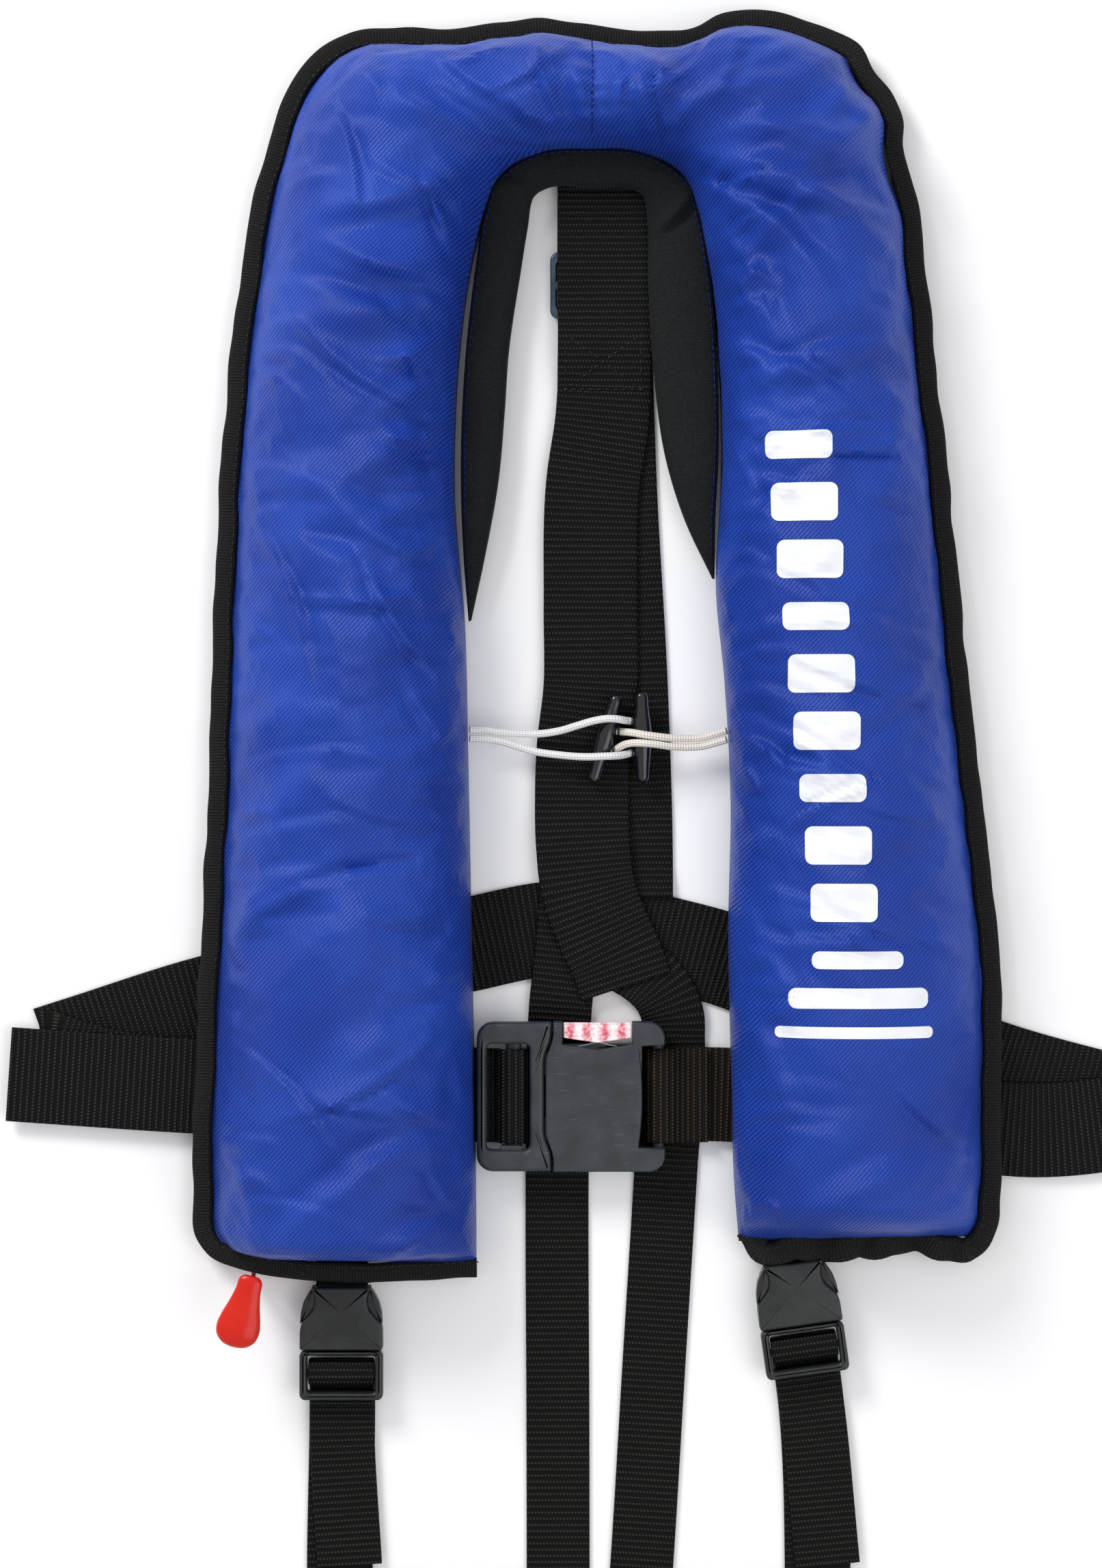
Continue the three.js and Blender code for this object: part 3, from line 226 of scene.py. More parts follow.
def tessellate(
    name: str,
    patches: Sequence[Patch],
    finish: "Finish",
    sharp: float = 38.0,
    caps: Sequence[Grid] = (),
    outward: bool = True,
) -> bpy.types.Object:
    """Make a mesh object from grids: neighbouring grid points are joined by four-sided faces.

    Args:
        name: the object's name.
        patches: grids whose touching borders are welded.
        finish: what the surface is made of.
        sharp: angle in degrees above which an edge stays crisp.
        caps: closed rings of points that get one flat face each.
        outward: whether the shell is closed, so that its faces can be turned outwards.

    Returns:
        the new object, at the origin.
    """
    points, faces, cloth, start = [], [], [], 0
    for patch in patches:
        rows, columns = patch.points.shape[:2]
        index = start + np.arange(rows * columns).reshape(rows, columns)
        faces += quads_of(index)
        points.append(patch.points.reshape(-1, 3))
        blank = np.zeros((rows * columns, 2))
        cloth.append(blank if patch.cloth is None else patch.cloth.reshape(-1, 2))
        start += rows * columns
    for ring in caps:
        faces.append(list(range(start, start + len(ring))))
        points.append(ring)
        cloth.append(ring[:, :2])
        start += len(ring)
    mesh = bpy.data.meshes.new(name)
    mesh.from_pydata((np.concatenate(points) * MM).tolist(), [], faces)
    layer = mesh.uv_layers.new(name="cloth")
    corners = np.zeros(len(mesh.loops), np.int32)
    mesh.loops.foreach_get("vertex_index", corners)
    layer.data.foreach_set("uv", (np.concatenate(cloth)[corners] * MM).astype(np.float32).ravel())
    return welded(name, mesh, finish, sharp, outward)


def circle(radius: float, steps: int) -> Grid:
    """Round profile of a cord: radius times (cos a, sin a), with a going once round."""
    angle = np.linspace(0, 2 * np.pi, steps + 1)
    return radius * np.column_stack([np.cos(angle), np.sin(angle)])


def carry(path: Grid, section: Grid, side: Grid) -> Patch:
    """Carry a profile along a path: point = path + across * side + high * (side x tangent).

    Both ends are drawn together to a point.

    Args:
        path: the line that the profile follows.
        section: profile of (across, high) pairs, the same at each step or one for each step.
        side: direction of the profile's across axis at each step.

    Returns:
        the grid, with cloth coordinates (around the profile, along the path).
    """
    tangent = unit(np.gradient(path, axis=0))
    side = unit(side)
    high = np.cross(side, unit(tangent - (side * tangent).sum(-1, keepdims=True) * side))
    profile = np.broadcast_to(section, (len(path), *section.shape[-2:]))
    grid = (
        path[:, None]
        + profile[..., :1] * side[:, None]
        + profile[..., 1:] * high[:, None]
    )
    around = along_line(profile[len(path) // 2])
    cloth = np.stack(np.meshgrid(around, along_line(path)), axis=-1)
    middle = grid.mean(axis=1, keepdims=True)
    poles = [np.broadcast_to(middle[end], grid[:1].shape) for end in (slice(1), slice(-1, None))]
    return Patch(np.concatenate([poles[0], grid, poles[1]]),
                 np.concatenate([cloth[:1], cloth, cloth[-1:]]))


def turn(profile: Sequence[Sequence[float]], start: Sequence[float], axis: Sequence[float],
         flat: float = 1.0, sides: int = 40) -> Patch:
    """Turn a profile of (distance along, radius) about an axis, flattened upwards by a share.

    Args:
        profile: pairs of distance along the axis and radius.
        start: where the axis starts.
        axis: its direction.
        flat: height of the round section as a share of its width.
        sides: steps round the axis.

    Returns:
        the grid of the turned surface.
    """
    shape = np.asarray(profile, float)
    direction = unit(np.asarray(axis, float))
    reference = UP if abs(direction[2]) < 0.9 else np.array([0.0, 1.0, 0.0])
    across = unit(np.cross(direction, reference))
    over = np.cross(across, direction)
    angle = np.linspace(0, 2 * np.pi, sides + 1)
    ring = np.cos(angle)[:, None] * across + flat * np.sin(angle)[:, None] * over
    grid = (np.asarray(start) + shape[:, :1] * direction)[:, None] + shape[:, 1, None, None] * ring
    cloth = np.stack(np.meshgrid(angle * shape[:, 1].max(), along_line(shape)), axis=-1)
    return Patch(grid, cloth)


def rounded(x0: float, x1: float, y0: float, y1: float, r: float, arc: int = 7,
            side: int = 9) -> Grid:
    """Plan outline of a rectangle with round corners, the same number of points whatever its size.

    Args:
        x0: low x. x1: high x. y0: low y. y1: high y.
        r: corner radius.
        arc: points on each corner.
        side: points on each straight side.

    Returns:
        the closed outline, anticlockwise, its first point given again at the end.
    """
    quarter = np.linspace(0, np.pi / 2, arc)
    centres = np.array([[x1 - r, y1 - r], [x0 + r, y1 - r], [x0 + r, y0 + r], [x1 - r, y0 + r]])
    angles = quarter + np.arange(4)[:, None] * np.pi / 2
    corners = centres[:, None] + r * np.stack([np.cos(angles), np.sin(angles)], axis=-1)
    following = np.roll(corners, -1, axis=0)[:, :1]
    share = np.linspace(0, 1, side + 2)[1:-1, None]
    straights = corners[:, -1:] * (1 - share) + following * share
    ring = np.concatenate([corners, straights], axis=1).reshape(-1, 2)
    return np.concatenate([ring, ring[:1]])


def inset(outline: Grid, distance: float) -> Grid:
    """Draw a closed anticlockwise outline in by a distance along its corner bisectors."""
    ring = outline[:-1]
    before = unit(ring - np.roll(ring, 1, axis=0))
    after = unit(np.roll(ring, -1, axis=0) - ring)
    left = np.stack([-(before + after)[:, 1], (before + after)[:, 0]], axis=1)
    moved = ring + distance * unit(left)
    return np.concatenate([moved, moved[:1]])


def edge_steps(low: float, high: float, low_round: float, high_round: float) -> Grid:
    """Quarter-round steps of a plate's edge as (inset, height), from its underside to its top."""
    quarter = np.linspace(0, np.pi / 2, 6)
    start, end = 1 - np.sin(quarter), 1 - np.cos(quarter)
    under = np.stack([low_round * start, low + low_round * end], 1)
    over = np.stack([high_round * end, high - high_round * start], 1)
    return np.concatenate([under if low_round else under[-1:], over if high_round else over[:1]])


def plate(outline: Grid, low: float, high: float, low_round: float = 0.0,
          high_round: float = 0.0) -> Part:
    """Solid plate: its outline drawn in by each edge step's inset, at that step's height.

    Args:
        outline: closed plan outline, anticlockwise.
        low: underside. high: top.
        low_round: edge radius below. high_round: edge radius above.

    Returns:
        the wall's grid and the two flat ends.
    """
    steps = edge_steps(low, high, low_round, high_round)
    rims = [(steps[0, 0] + 0.15, low), *steps, (steps[-1, 0] + 0.15, high)]
    rows = np.stack([
        np.column_stack([inset(outline, step), np.full(len(outline), height)])
        for step, height in rims
    ])
    return Patch(rows), [rows[0, :-1], rows[-1, :-1]]


def spokes(outline: Grid, centre: Sequence[float], count: int = 220) -> Grid:
    """Take the points where rays from a centre, evenly turned, meet a closed outline."""
    dense = resample(outline, 5000)[:-1]
    angle = np.arctan2(dense[:, 1] - centre[1], dense[:, 0] - centre[0])
    order = np.argsort(angle)
    rays = np.linspace(-np.pi, np.pi, count + 1)
    return np.column_stack([np.interp(rays, angle[order], dense[order, k], period=2 * np.pi)
                            for k in range(2)])


def ring_plate(outer: Grid, inner: Grid, low: float, high: float, soft: float) -> Patch:
    """Plate with a window: the edge steps of the outer outline, then those of the window, back.

    Args:
        outer: closed outline. inner: the window's, with as many points.
        low: underside. high: top.
        soft: edge radius.

    Returns:
        the grid of the closed ring.
    """
    steps = edge_steps(low, high, soft, soft)
    steps = np.concatenate([[(soft + 0.4, low)], steps, [(soft + 0.4, high)]])
    outside = [np.column_stack([inset(outer, a), np.full(len(outer), z)]) for a, z in steps]
    inside = [np.column_stack([inset(inner, -a), np.full(len(inner), z)]) for a, z in steps[::-1]]
    return Patch(np.stack([*outside, *inside, outside[0]]))


def solid(outline: Grid, low: float, high: float, low_round: float = 0.0,
          high_round: float = 0.0) -> Part:
    """Solid plate whose flat ends are drawn in to its middle, for outlines with hollows."""
    steps = edge_steps(low, high, low_round, high_round)
    rows = [np.column_stack([inset(outline, step), np.full(len(outline), z)]) for step, z in steps]
    middle = outline[:-1].mean(axis=0)
    poles = [np.broadcast_to([*middle, z], rows[0].shape) for z in (low, high)]
    return Patch(np.stack([poles[0], *rows, poles[1]])), []


def joined(name: str, parts: Sequence[Part], finish: "Finish",
           sharp: float = 38.0) -> bpy.types.Object:
    """One object from several solid plates, each given as its wall and its flat ends."""
    return tessellate(name, [wall for wall, _ in parts], finish, sharp,
                      [ring for _, ends in parts for ring in ends])


def turned_about(patch: Patch, angle: float, centre: Sequence[float]) -> Patch:
    """Turn a grid in plan by an angle in degrees about a point, then leave it there."""
    c, s = np.cos(np.radians(angle)), np.sin(np.radians(angle))
    middle = np.array([*centre[:2], 0.0])
    spun = (patch.points - middle) @ np.array([[c, s, 0], [-s, c, 0], [0, 0, 1]]) + middle
    return Patch(spun, patch.cloth)


def stitches(name: str, line: Grid, finish: "Finish", pitch: float = 3.2, length: float = 2.3,
             radius: float = 0.33) -> bpy.types.Object:
    """Row of stitches: one short spindle of six sides repeated at even steps along a line.

    Args:
        name: the object's name.
        line: the seam, on the surface that it is sewn through.
        finish: the thread.
        pitch: step from stitch to stitch. length: length of a stitch. radius: half its width.

    Returns:
        the row as one object.
    """
    count = max(2, int(along_line(line)[-1] / pitch))
    centres = resample(line, count)
    tangent = unit(np.gradient(centres, axis=0))
    side = unit(np.cross(UP, tangent))
    high = np.cross(tangent, side)
    share = np.array([-0.5, -0.34, 0.0, 0.34, 0.5])
    girth = np.array([0.0, 0.75, 1.0, 0.75, 0.0]) * radius
    angle = np.linspace(0, 2 * np.pi, 7)
    ring = np.cos(angle)[:, None, None] * side + np.sin(angle)[:, None, None] * high
    grid = (
        centres[:, None, None]
        + (share * length)[None, :, None, None] * tangent[:, None, None]
        + girth[None, :, None, None] * ring.transpose(1, 0, 2)[:, None]
    )
    index = np.arange(grid[..., 0].size).reshape(grid.shape[:3])
    mesh = bpy.data.meshes.new(name)
    mesh.from_pydata((grid.reshape(-1, 3) * MM).tolist(), [], quads_of(index))
    return welded(name, mesh, finish)


# ---------------------------------------------------------------- finishes
def linear(code: str) -> tuple[float, float, float, float]:
    """Turn an sRGB hex colour into linear light: the sRGB curve undone on each channel."""
    srgb = np.array([int(code[i:i + 2], 16) for i in (1, 3, 5)]) / 255
    light = np.where(srgb <= 0.04045, srgb / 12.92, ((srgb + 0.055) / 1.055) ** 2.4)
    return (*light.tolist(), 1.0)


def node(tree: bpy.types.NodeTree, kind: str, inputs: Optional[dict] = None,
         **settings: object) -> bpy.types.Node:
    """Add a node with its settings, and set or link its inputs.

    Args:
        tree: where the node goes.
        kind: the node's type name.
        inputs: for each socket, by name or number, a value or the socket that feeds it.
        **settings: properties of the node itself.

    Returns:
        the new node.
    """
    made = tree.nodes.new(kind)
    for key, value in settings.items():
        setattr(made, key, value)
    for key, value in (inputs or {}).items():
        if isinstance(value, bpy.types.NodeSocket):
            tree.links.new(value, made.inputs[key])
        else:
            made.inputs[key].default_value = value
    return made


class Place(Enum):
    """Where a pattern takes its coordinates from."""

    BODY = "Object"
    CLOTH = "UV"


@dataclass(frozen=True)
class Finish:
    """A surface finish: one colour with its roughness, and a pattern that subclasses draw."""

    name: str
    slot: str
    colour: str
    light: str
    roughness: float = 0.5
    metallic: float = 0.0
    sheen: float = 0.0
    coat: float = 0.0
    specular: float = 0.4

    def material(self) -> bpy.types.Material:
        """Give the finish's material, made the first time that it is asked for."""
        made = bpy.data.materials.get(self.name)
        if made:
            return made
        made = bpy.data.materials.new(self.name)
        made.use_nodes = True
        tree = made.node_tree
        shader = tree.nodes["Principled BSDF"]
        shader.inputs["Base Color"].default_value = linear(self.colour)
        shader.inputs["Roughness"].default_value = self.roughness
        shader.inputs["Metallic"].default_value = self.metallic
        shader.inputs["Sheen Weight"].default_value = self.sheen
        shader.inputs["Sheen Roughness"].default_value = 0.45
        shader.inputs["Coat Weight"].default_value = self.coat
        specular = 0.5 if self.metallic else self.specular
        shader.inputs["Specular IOR Level"].default_value = specular
        shader.inputs["Coat Roughness"].default_value = 0.12
        self.pattern(tree, shader)
        return made

    def pattern(self, tree: bpy.types.NodeTree, shader: bpy.types.Node) -> None:
        """Draw the finish's own pattern on its shader."""

    def place(self, tree: bpy.types.NodeTree, which: Place) -> bpy.types.NodeSocket:
        """Give the coordinates that a pattern follows."""
        return node(tree, "ShaderNodeTexCoord").outputs[which.value]

    def lines(self, tree: bpy.types.NodeTree, where: bpy.types.NodeSocket,
              direction: Sequence[float], pitch: float) -> bpy.types.NodeSocket:
        """Even lines: sine of the distance along a direction, one period for each pitch.

        Args:
            tree: the material's nodes.
            where: coordinates in metres.
            direction: unit vector across the lines.
            pitch: distance from line to line, in millimetres.

        Returns:
            a value from -1 to 1.
        """
        turns = np.asarray(direction, float) * 2 * np.pi / (pitch * MM)
        along = node(tree, "ShaderNodeVectorMath", {0: where, 1: turns.tolist()},
                     operation="DOT_PRODUCT")
        return node(tree, "ShaderNodeMath", {0: along.outputs["Value"]},
                    operation="SINE").outputs[0]

    def grain(self, tree: bpy.types.NodeTree, where: bpy.types.NodeSocket, size: float,
              detail: float = 3.0) -> bpy.types.NodeSocket:
        """Cloudy noise whose blotches are about size millimetres across."""
        return node(tree, "ShaderNodeTexNoise",
                    {"Vector": where, "Scale": 1 / (size * MM), "Detail": detail}).outputs["Fac"]

    def added(self, tree: bpy.types.NodeTree, value: bpy.types.NodeSocket, share: float,
              rest: "bpy.types.NodeSocket | float") -> bpy.types.NodeSocket:
        """Add a share of one value to another: value * share + rest."""
        return node(tree, "ShaderNodeMath", {0: value, 1: share, 2: rest},
                    operation="MULTIPLY_ADD").outputs[0]

    def tint(self, tree: bpy.types.NodeTree, shader: bpy.types.Node, amount: bpy.types.NodeSocket,
             low: float, high: float) -> None:
        """Go from the colour to the light colour as an amount goes from low to high."""
        ramp = node(tree, "ShaderNodeMapRange",
                    {"Value": amount, "From Min": low, "From Max": high})
        mix = node(tree, "ShaderNodeMix", {0: ramp.outputs[0]}, data_type="RGBA")
        mix.inputs[6].default_value = linear(self.colour)
        mix.inputs[7].default_value = linear(self.light)
        tree.links.new(mix.outputs[2], shader.inputs["Base Color"])

    def bump(self, tree: bpy.types.NodeTree, shader: bpy.types.Node,
             layers: Sequence[tuple[bpy.types.NodeSocket, float]]) -> None:
        """Stack bumps: each layer is a height and its depth in millimetres."""
        normal = None
        for height, depth in layers:
            inputs = {"Height": height, "Distance": depth * MM, "Strength": 1.0}
            if normal:
                inputs["Normal"] = normal
            normal = node(tree, "ShaderNodeBump", inputs).outputs[0]
        tree.links.new(normal, shader.inputs["Normal"])


class TwillNylon(Finish):
    """Twill-woven coated nylon: fine diagonal wales, soft sheen, small crumples between folds.

    The wales are 1.3 mm apart, about twice the real ones, so that they still show.
    """

    def pattern(self, tree: bpy.types.NodeTree, shader: bpy.types.Node) -> None:
        """Diagonal wales cut into floats, with broad cloudy painted shade and crumples."""
        where = self.place(tree, Place.BODY)
        wale = self.lines(tree, where, (-0.74, 0.67, 0.0), 1.3)
        float_ = self.lines(tree, where, (0.95, 0.31, 0.0), 2.1)
        # The 45 mm blotches are painted shade: soft lighter and darker patches laid into the blue.
        cloud = self.grain(tree, where, 45, 2)
        fine = self.grain(tree, where, 2.2, 2)
        weave_and_shade = self.added(tree, wale, 0.36, cloud)
        weave_and_shade = self.added(tree, float_, 0.035, weave_and_shade)
        weave_and_shade = self.added(tree, fine, 0.14, weave_and_shade)
        self.tint(tree, shader, weave_and_shade, 0.2, 1.0)
        crumple = node(tree, "ShaderNodeTexNoise", {
            "Vector": where, "Scale": 60.0, "Detail": 2.0, "Roughness": 0.45, "Distortion": 1.4,
        }).outputs["Fac"]
        self.bump(tree, shader, [(crumple, 0.5), (wale, 0.08), (float_, 0.02)])


class WovenWebbing(Finish):
    """Polyester webbing: cross ribs 2.5 mm apart, each a row of floats that catch the light."""

    def pattern(self, tree: bpy.types.NodeTree, shader: bpy.types.Node) -> None:
        """Rib wave times float wave; each row of floats stands half a float beside the last."""
        where = self.place(tree, Place.CLOTH)
        rib = self.lines(tree, where, (0.0, 1.0, 0.0), 2.5)
        float_ = self.lines(tree, where, (1.0, 0.27, 0.0), 1.35)
        crest = node(tree, "ShaderNodeMath", {0: rib, 1: 0.0}, operation="MAXIMUM").outputs[0]
        lifted = self.added(tree, float_, 0.5, 0.5)
        # The floats' crests are painted lighter as a painted highlight and the gaps stay dark as
        # painted shade; random wear is added below.
        dot = node(tree, "ShaderNodeMath", {0: crest, 1: lifted}, operation="MULTIPLY").outputs[0]
        wear = self.grain(tree, where, 14, 3)
        wear_and_highlight = self.added(tree, wear, 0.3, dot)
        self.tint(tree, shader, wear_and_highlight, 0.25, 1.0)
        self.bump(tree, shader, [(rib, 0.08), (dot, 0.45)])


class Grosgrain(Finish):
    """Grosgrain tape: matt, with fine ribs straight across it, 1.2 mm apart."""

    def pattern(self, tree: bpy.types.NodeTree, shader: bpy.types.Node) -> None:
        """Cross ribs broken by a little fuzz."""
        where = self.place(tree, Place.CLOTH)
        rib = self.lines(tree, where, (0.0, 1.0, 0.0), 1.2)
        fuzz = self.grain(tree, where, 0.9, 2)
        mixed = self.added(tree, rib, 0.16, fuzz)
        self.tint(tree, shader, mixed, 0.3, 0.95)
        self.bump(tree, shader, [(rib, 0.12), (fuzz, 0.12)])


class Neoprene(Finish):
    """Jersey-faced neoprene: soft, matt, a hair lighter where the knit's nap stands up."""

    def pattern(self, tree: bpy.types.NodeTree, shader: bpy.types.Node) -> None:
        """Knit rows 1.1 mm apart under a fine nap, on foam with broad soft dents."""
        where = self.place(tree, Place.BODY)
        nap = self.grain(tree, where, 0.7, 3)
        dent = self.grain(tree, where, 26, 2)
        knit = self.lines(tree, where, (0.0, 1.0, 0.0), 1.1)
        self.tint(tree, shader, nap, 0.35, 0.8)
        self.bump(tree, shader, [(dent, 1.4), (nap, 0.14), (knit, 0.04)])


class MouldedPlastic(Finish):
    """Moulded acetal: satin skin with fine grain, dust specks and pale hairline scratches."""

    def pattern(self, tree: bpy.types.NodeTree, shader: bpy.types.Node) -> None:
        """Scratches are stretched noise cut high; fine noise, not cut, adds grain."""
        where = self.place(tree, Place.BODY)
        grain = self.grain(tree, where, 0.5, 2)
        handled = self.grain(tree, where, 9, 4)
        stretched = node(tree, "ShaderNodeMapping", {
            "Vector": where, "Rotation": (0.0, 0.0, 0.9), "Scale": (1.0, 9.0, 1.0),
        }).outputs[0]
        scratch = self.grain(tree, stretched, 7, 2)
        hair = node(tree, "ShaderNodeMapRange",
                    {"Value": scratch, "From Min": 0.66, "From Max": 0.74, "To Max": 0.35})
        total = self.added(tree, handled, 0.5, hair.outputs[0])
        total = self.added(tree, grain, 0.3, total)
        self.tint(tree, shader, total, 0.3, 0.95)
        rough = node(tree, "ShaderNodeMapRange", {
            "Value": handled, "To Min": self.roughness - 0.08, "To Max": self.roughness + 0.14,
        })
        tree.links.new(rough.outputs[0], shader.inputs["Roughness"])
        self.bump(tree, shader, [(grain, 0.05), (scratch, 0.03)])


class PrismPlastic(Finish):
    """Clear red acrylic over a prism back: red rims round painted bright pink glints at the
    centres, 6.9 mm apart.
    """

    def pattern(self, tree: bpy.types.NodeTree, shader: bpy.types.Node) -> None:
        """Painted glints: bright centres where a cosine along the button and one across it both
        peak.
        """
        where = self.place(tree, Place.BODY)
        facet = self.lines(tree, where, (1.0, 0.0, 0.0), 6.9)
        depth = self.lines(tree, where, (0.0, 1.0, 0.0), 13.0)
        speck = self.grain(tree, where, 1.3, 3)
        both = self.added(tree, facet, 0.2, speck)
        both = self.added(tree, depth, 0.1, both)
        self.tint(tree, shader, both, 0.15, 0.6)


class Braid(Finish):
    """Braided polyester cord: two sets of strands that cross at the cord's pitch."""

    def pattern(self, tree: bpy.types.NodeTree, shader: bpy.types.Node) -> None:
        """Strands are the product of two slanting waves on the cord's own coordinates."""
        where = self.place(tree, Place.CLOTH)
        left = self.lines(tree, where, (0.75, 0.66, 0.0), 1.5)
        right = self.lines(tree, where, (-0.75, 0.66, 0.0), 1.5)
        strand = node(tree, "ShaderNodeMath", {0: left, 1: right}, operation="MULTIPLY").outputs[0]
        self.tint(tree, shader, strand, -0.9, 0.5)
        self.bump(tree, shader, [(strand, 0.22)])


class PlainSurface(Finish):
    """A fine-grained skin: slight colour drift, and grain too small to see except in the gloss."""

    def pattern(self, tree: bpy.types.NodeTree, shader: bpy.types.Node) -> None:
        """Cloudy drift of colour and a shallow grain."""
        where = self.place(tree, Place.BODY)
        cloud = self.grain(tree, where, 14, 4)
        fine = self.grain(tree, where, 0.6, 2)
        self.tint(tree, shader, cloud, 0.3, 0.8)
        self.bump(tree, shader, [(fine, 0.03)])


# Nylon twill with a coated back: royal blue, paler along its wales.
TWILL = TwillNylon("royal_blue_nylon_twill", "cover_cloth", "#112c82", "#244bb1", 0.42,
                   sheen=0.02, specular=0.2)
# Polyester webbing, loom-state black: the floats catch light, the gaps stay dark.
WEBBING = WovenWebbing("black_polyester_webbing", "webbing", "#0b0b0a", "#3d3b37", 0.6,
                       specular=0.1)
# The belt beside the buckle is worn and browner.
WORN_WEBBING = WovenWebbing("worn_black_webbing", "webbing", "#120e0b", "#4c4133", 0.62,
                            specular=0.1)
# Black grosgrain tape, dusty.
TAPE = Grosgrain("black_grosgrain_tape", "binding_tape", "#191817", "#2d2c2b", 0.75, specular=0.1)
# Black neoprene with a jersey face: no gloss, a soft bloom at grazing angles.
FOAM = Neoprene("black_neoprene", "neoprene", "#181919", "#272828", 0.9, sheen=0.03,
                specular=0.1)
# Charcoal acetal, satin from the mould.
ACETAL = MouldedPlastic("charcoal_acetal", "buckle_plastic", "#2b2f32", "#4d5256", 0.4)
DARK_ACETAL = MouldedPlastic("black_acetal", "black_plastic", "#1e1f1f", "#3d4040", 0.34)
# The pale pink is painted glint, the light that the prism back throws back, not the acrylic's own
# colour.
PRISM = PrismPlastic("red_prism_acrylic", "button_plastic", "#dc5468", "#ffeef0", 0.12, coat=0.8)
# Glossy injection-moulded ABS.
TOGGLE = PlainSurface("gloss_black_abs", "toggle_plastic", "#0b0b0b", "#171717", 0.16, coat=0.5)
HANDLE = PlainSurface("gloss_red_abs", "red_plastic", "#c81404", "#d6260c", 0.26, coat=0.1,
                      specular=0.3)
WHITE_BRAID = Braid("white_braided_cord", "braid", "#d9d7d1", "#ffffff", 0.6)
BEIGE_BRAID = Braid("beige_braided_cord", "braid", "#cfc6b6", "#fffaf0", 0.6)
RED_BRAID = Braid("red_braided_cord", "red_cord", "#8a1410", "#d0261c", 0.6)
BLUE_THREAD = PlainSurface("blue_thread", "cover_cloth", "#0f1f5c", "#1a3183", 0.6, specular=0.1)
BLACK_THREAD = PlainSurface("black_thread", "webbing", "#0e0e0e", "#262523", 0.5)
INK = PlainSurface("white_screen_ink", "cover_cloth", "#e4e7ee", "#f4f5f8", 0.55)
# Polished steel, and what lies inside the lobes.
GUNMETAL = PlainSurface("blackened_steel", "steel", "#3c4a55", "#6d7f8c", 0.3, metallic=1.0)
STEEL = PlainSurface("polished_steel", "steel", "#9da0a3", "#c4c7ca", 0.28, metallic=1.0)
BLADDER = PlainSurface("coated_bladder_cloth", "bladder_cloth", "#e2b21a", "#f2cc45", 0.45)
ORANGE = PlainSurface("orange_plastic", "orange_plastic", "#e2600f", "#f07a2a", 0.35)
FITTING = PlainSurface("black_moulded_nylon", "black_plastic", "#151515", "#2c2c2c", 0.4)
HOOK_TAPE = Grosgrain("black_hook_tape", "binding_tape", "#121212", "#2a2a2a", 0.85)


# ---------------------------------------------------------------- cover, collar and binding
@dataclass(frozen=True)
class Fold:
    """One crease: a ridge, steep on one side, with a valley beside it, between two plan points."""

    start: tuple[float, float]
    end: tuple[float, float]
    width: float
    rise: float

    def height(self, x: Grid, y: Grid) -> Grid:
        """Height of the crease: a leaning bell less a bell beside it, tapered to its ends.

        Args:
            x: plan x of each point. y: plan y of each point.

        Returns:
            how far each point is raised.
        """
        a, b = np.array(self.start), np.array(self.end)
        run = b - a
        length = np.linalg.norm(run)
        ahead = ((x - a[0]) * run[0] + (y - a[1]) * run[1]) / length**2
        bow = 0.09 * length * 4 * ahead * (1 - ahead)
        across = ((x - a[0]) * -run[1] + (y - a[1]) * run[0]) / length - bow
        taper = np.sin(np.pi * np.clip(ahead * 0.86 + 0.07, 0, 1)) ** 1.3
        taper = np.where((ahead > -0.08) & (ahead < 1.08), taper, 0.0)
        gentle = np.where(across < 0, 1.5, 0.75) * self.width
        ridge = np.exp(-(np.abs(across / gentle) ** 1.5))
        valley = np.exp(-(((across - 1.6 * self.width) / (0.95 * self.width)) ** 2))
        return 1.35 * self.rise * taper * (ridge - 0.6 * valley)


LEFT_FOLDS = [
    Fold((-42, 267), (-111, 244), 5, 3.2), Fold((-102, 305), (-61, 274), 8, 3.2),
    Fold((-80, 286), (-42, 271), 4, 2.6), Fold((-53, 229), (-102, 223), 6, 3.0),
    Fold((-52, 213), (-112, 207), 7, 2.8), Fold((-52, 206), (-83, 182), 4, 3.0),
    Fold((-54, 191), (-90, 163), 5, 3.2), Fold((-55, 170), (-105, 138), 6, 2.6),
    Fold((-54, 157), (-80, 154), 3, 2.0), Fold((-52, 138), (-83, 132), 3.5, 2.0),
    Fold((-127, 201), (-61, 185), 9, 2.4), Fold((-130, 144), (-61, 88), 9, 2.2),
    Fold((-124, 116), (-74, 82), 6, 1.8), Fold((-133, 132), (-80, 138), 8, 1.8),
    Fold((-143, 31), (-105, 53), 7, 1.6), Fold((-143, 0), (-86, 25), 8, 1.5),
    Fold((-146, -38), (-105, -16), 6, 1.8), Fold((-133, -72), (-74, -28), 10, 2.4),
    Fold((-143, -54), (-127, -16), 5, 2.0), Fold((-111, -107), (-52, -72), 8, 1.8),
    Fold((-133, -120), (-61, -107), 9, 1.6), Fold((-105, -148), (-64, -123), 5, 2.8),
    Fold((-124, -164), (-90, -138), 5, 2.4), Fold((-149, -157), (-133, -132), 4, 2.0),
    Fold((-86, -167), (-49, -157), 4, 1.5),
]
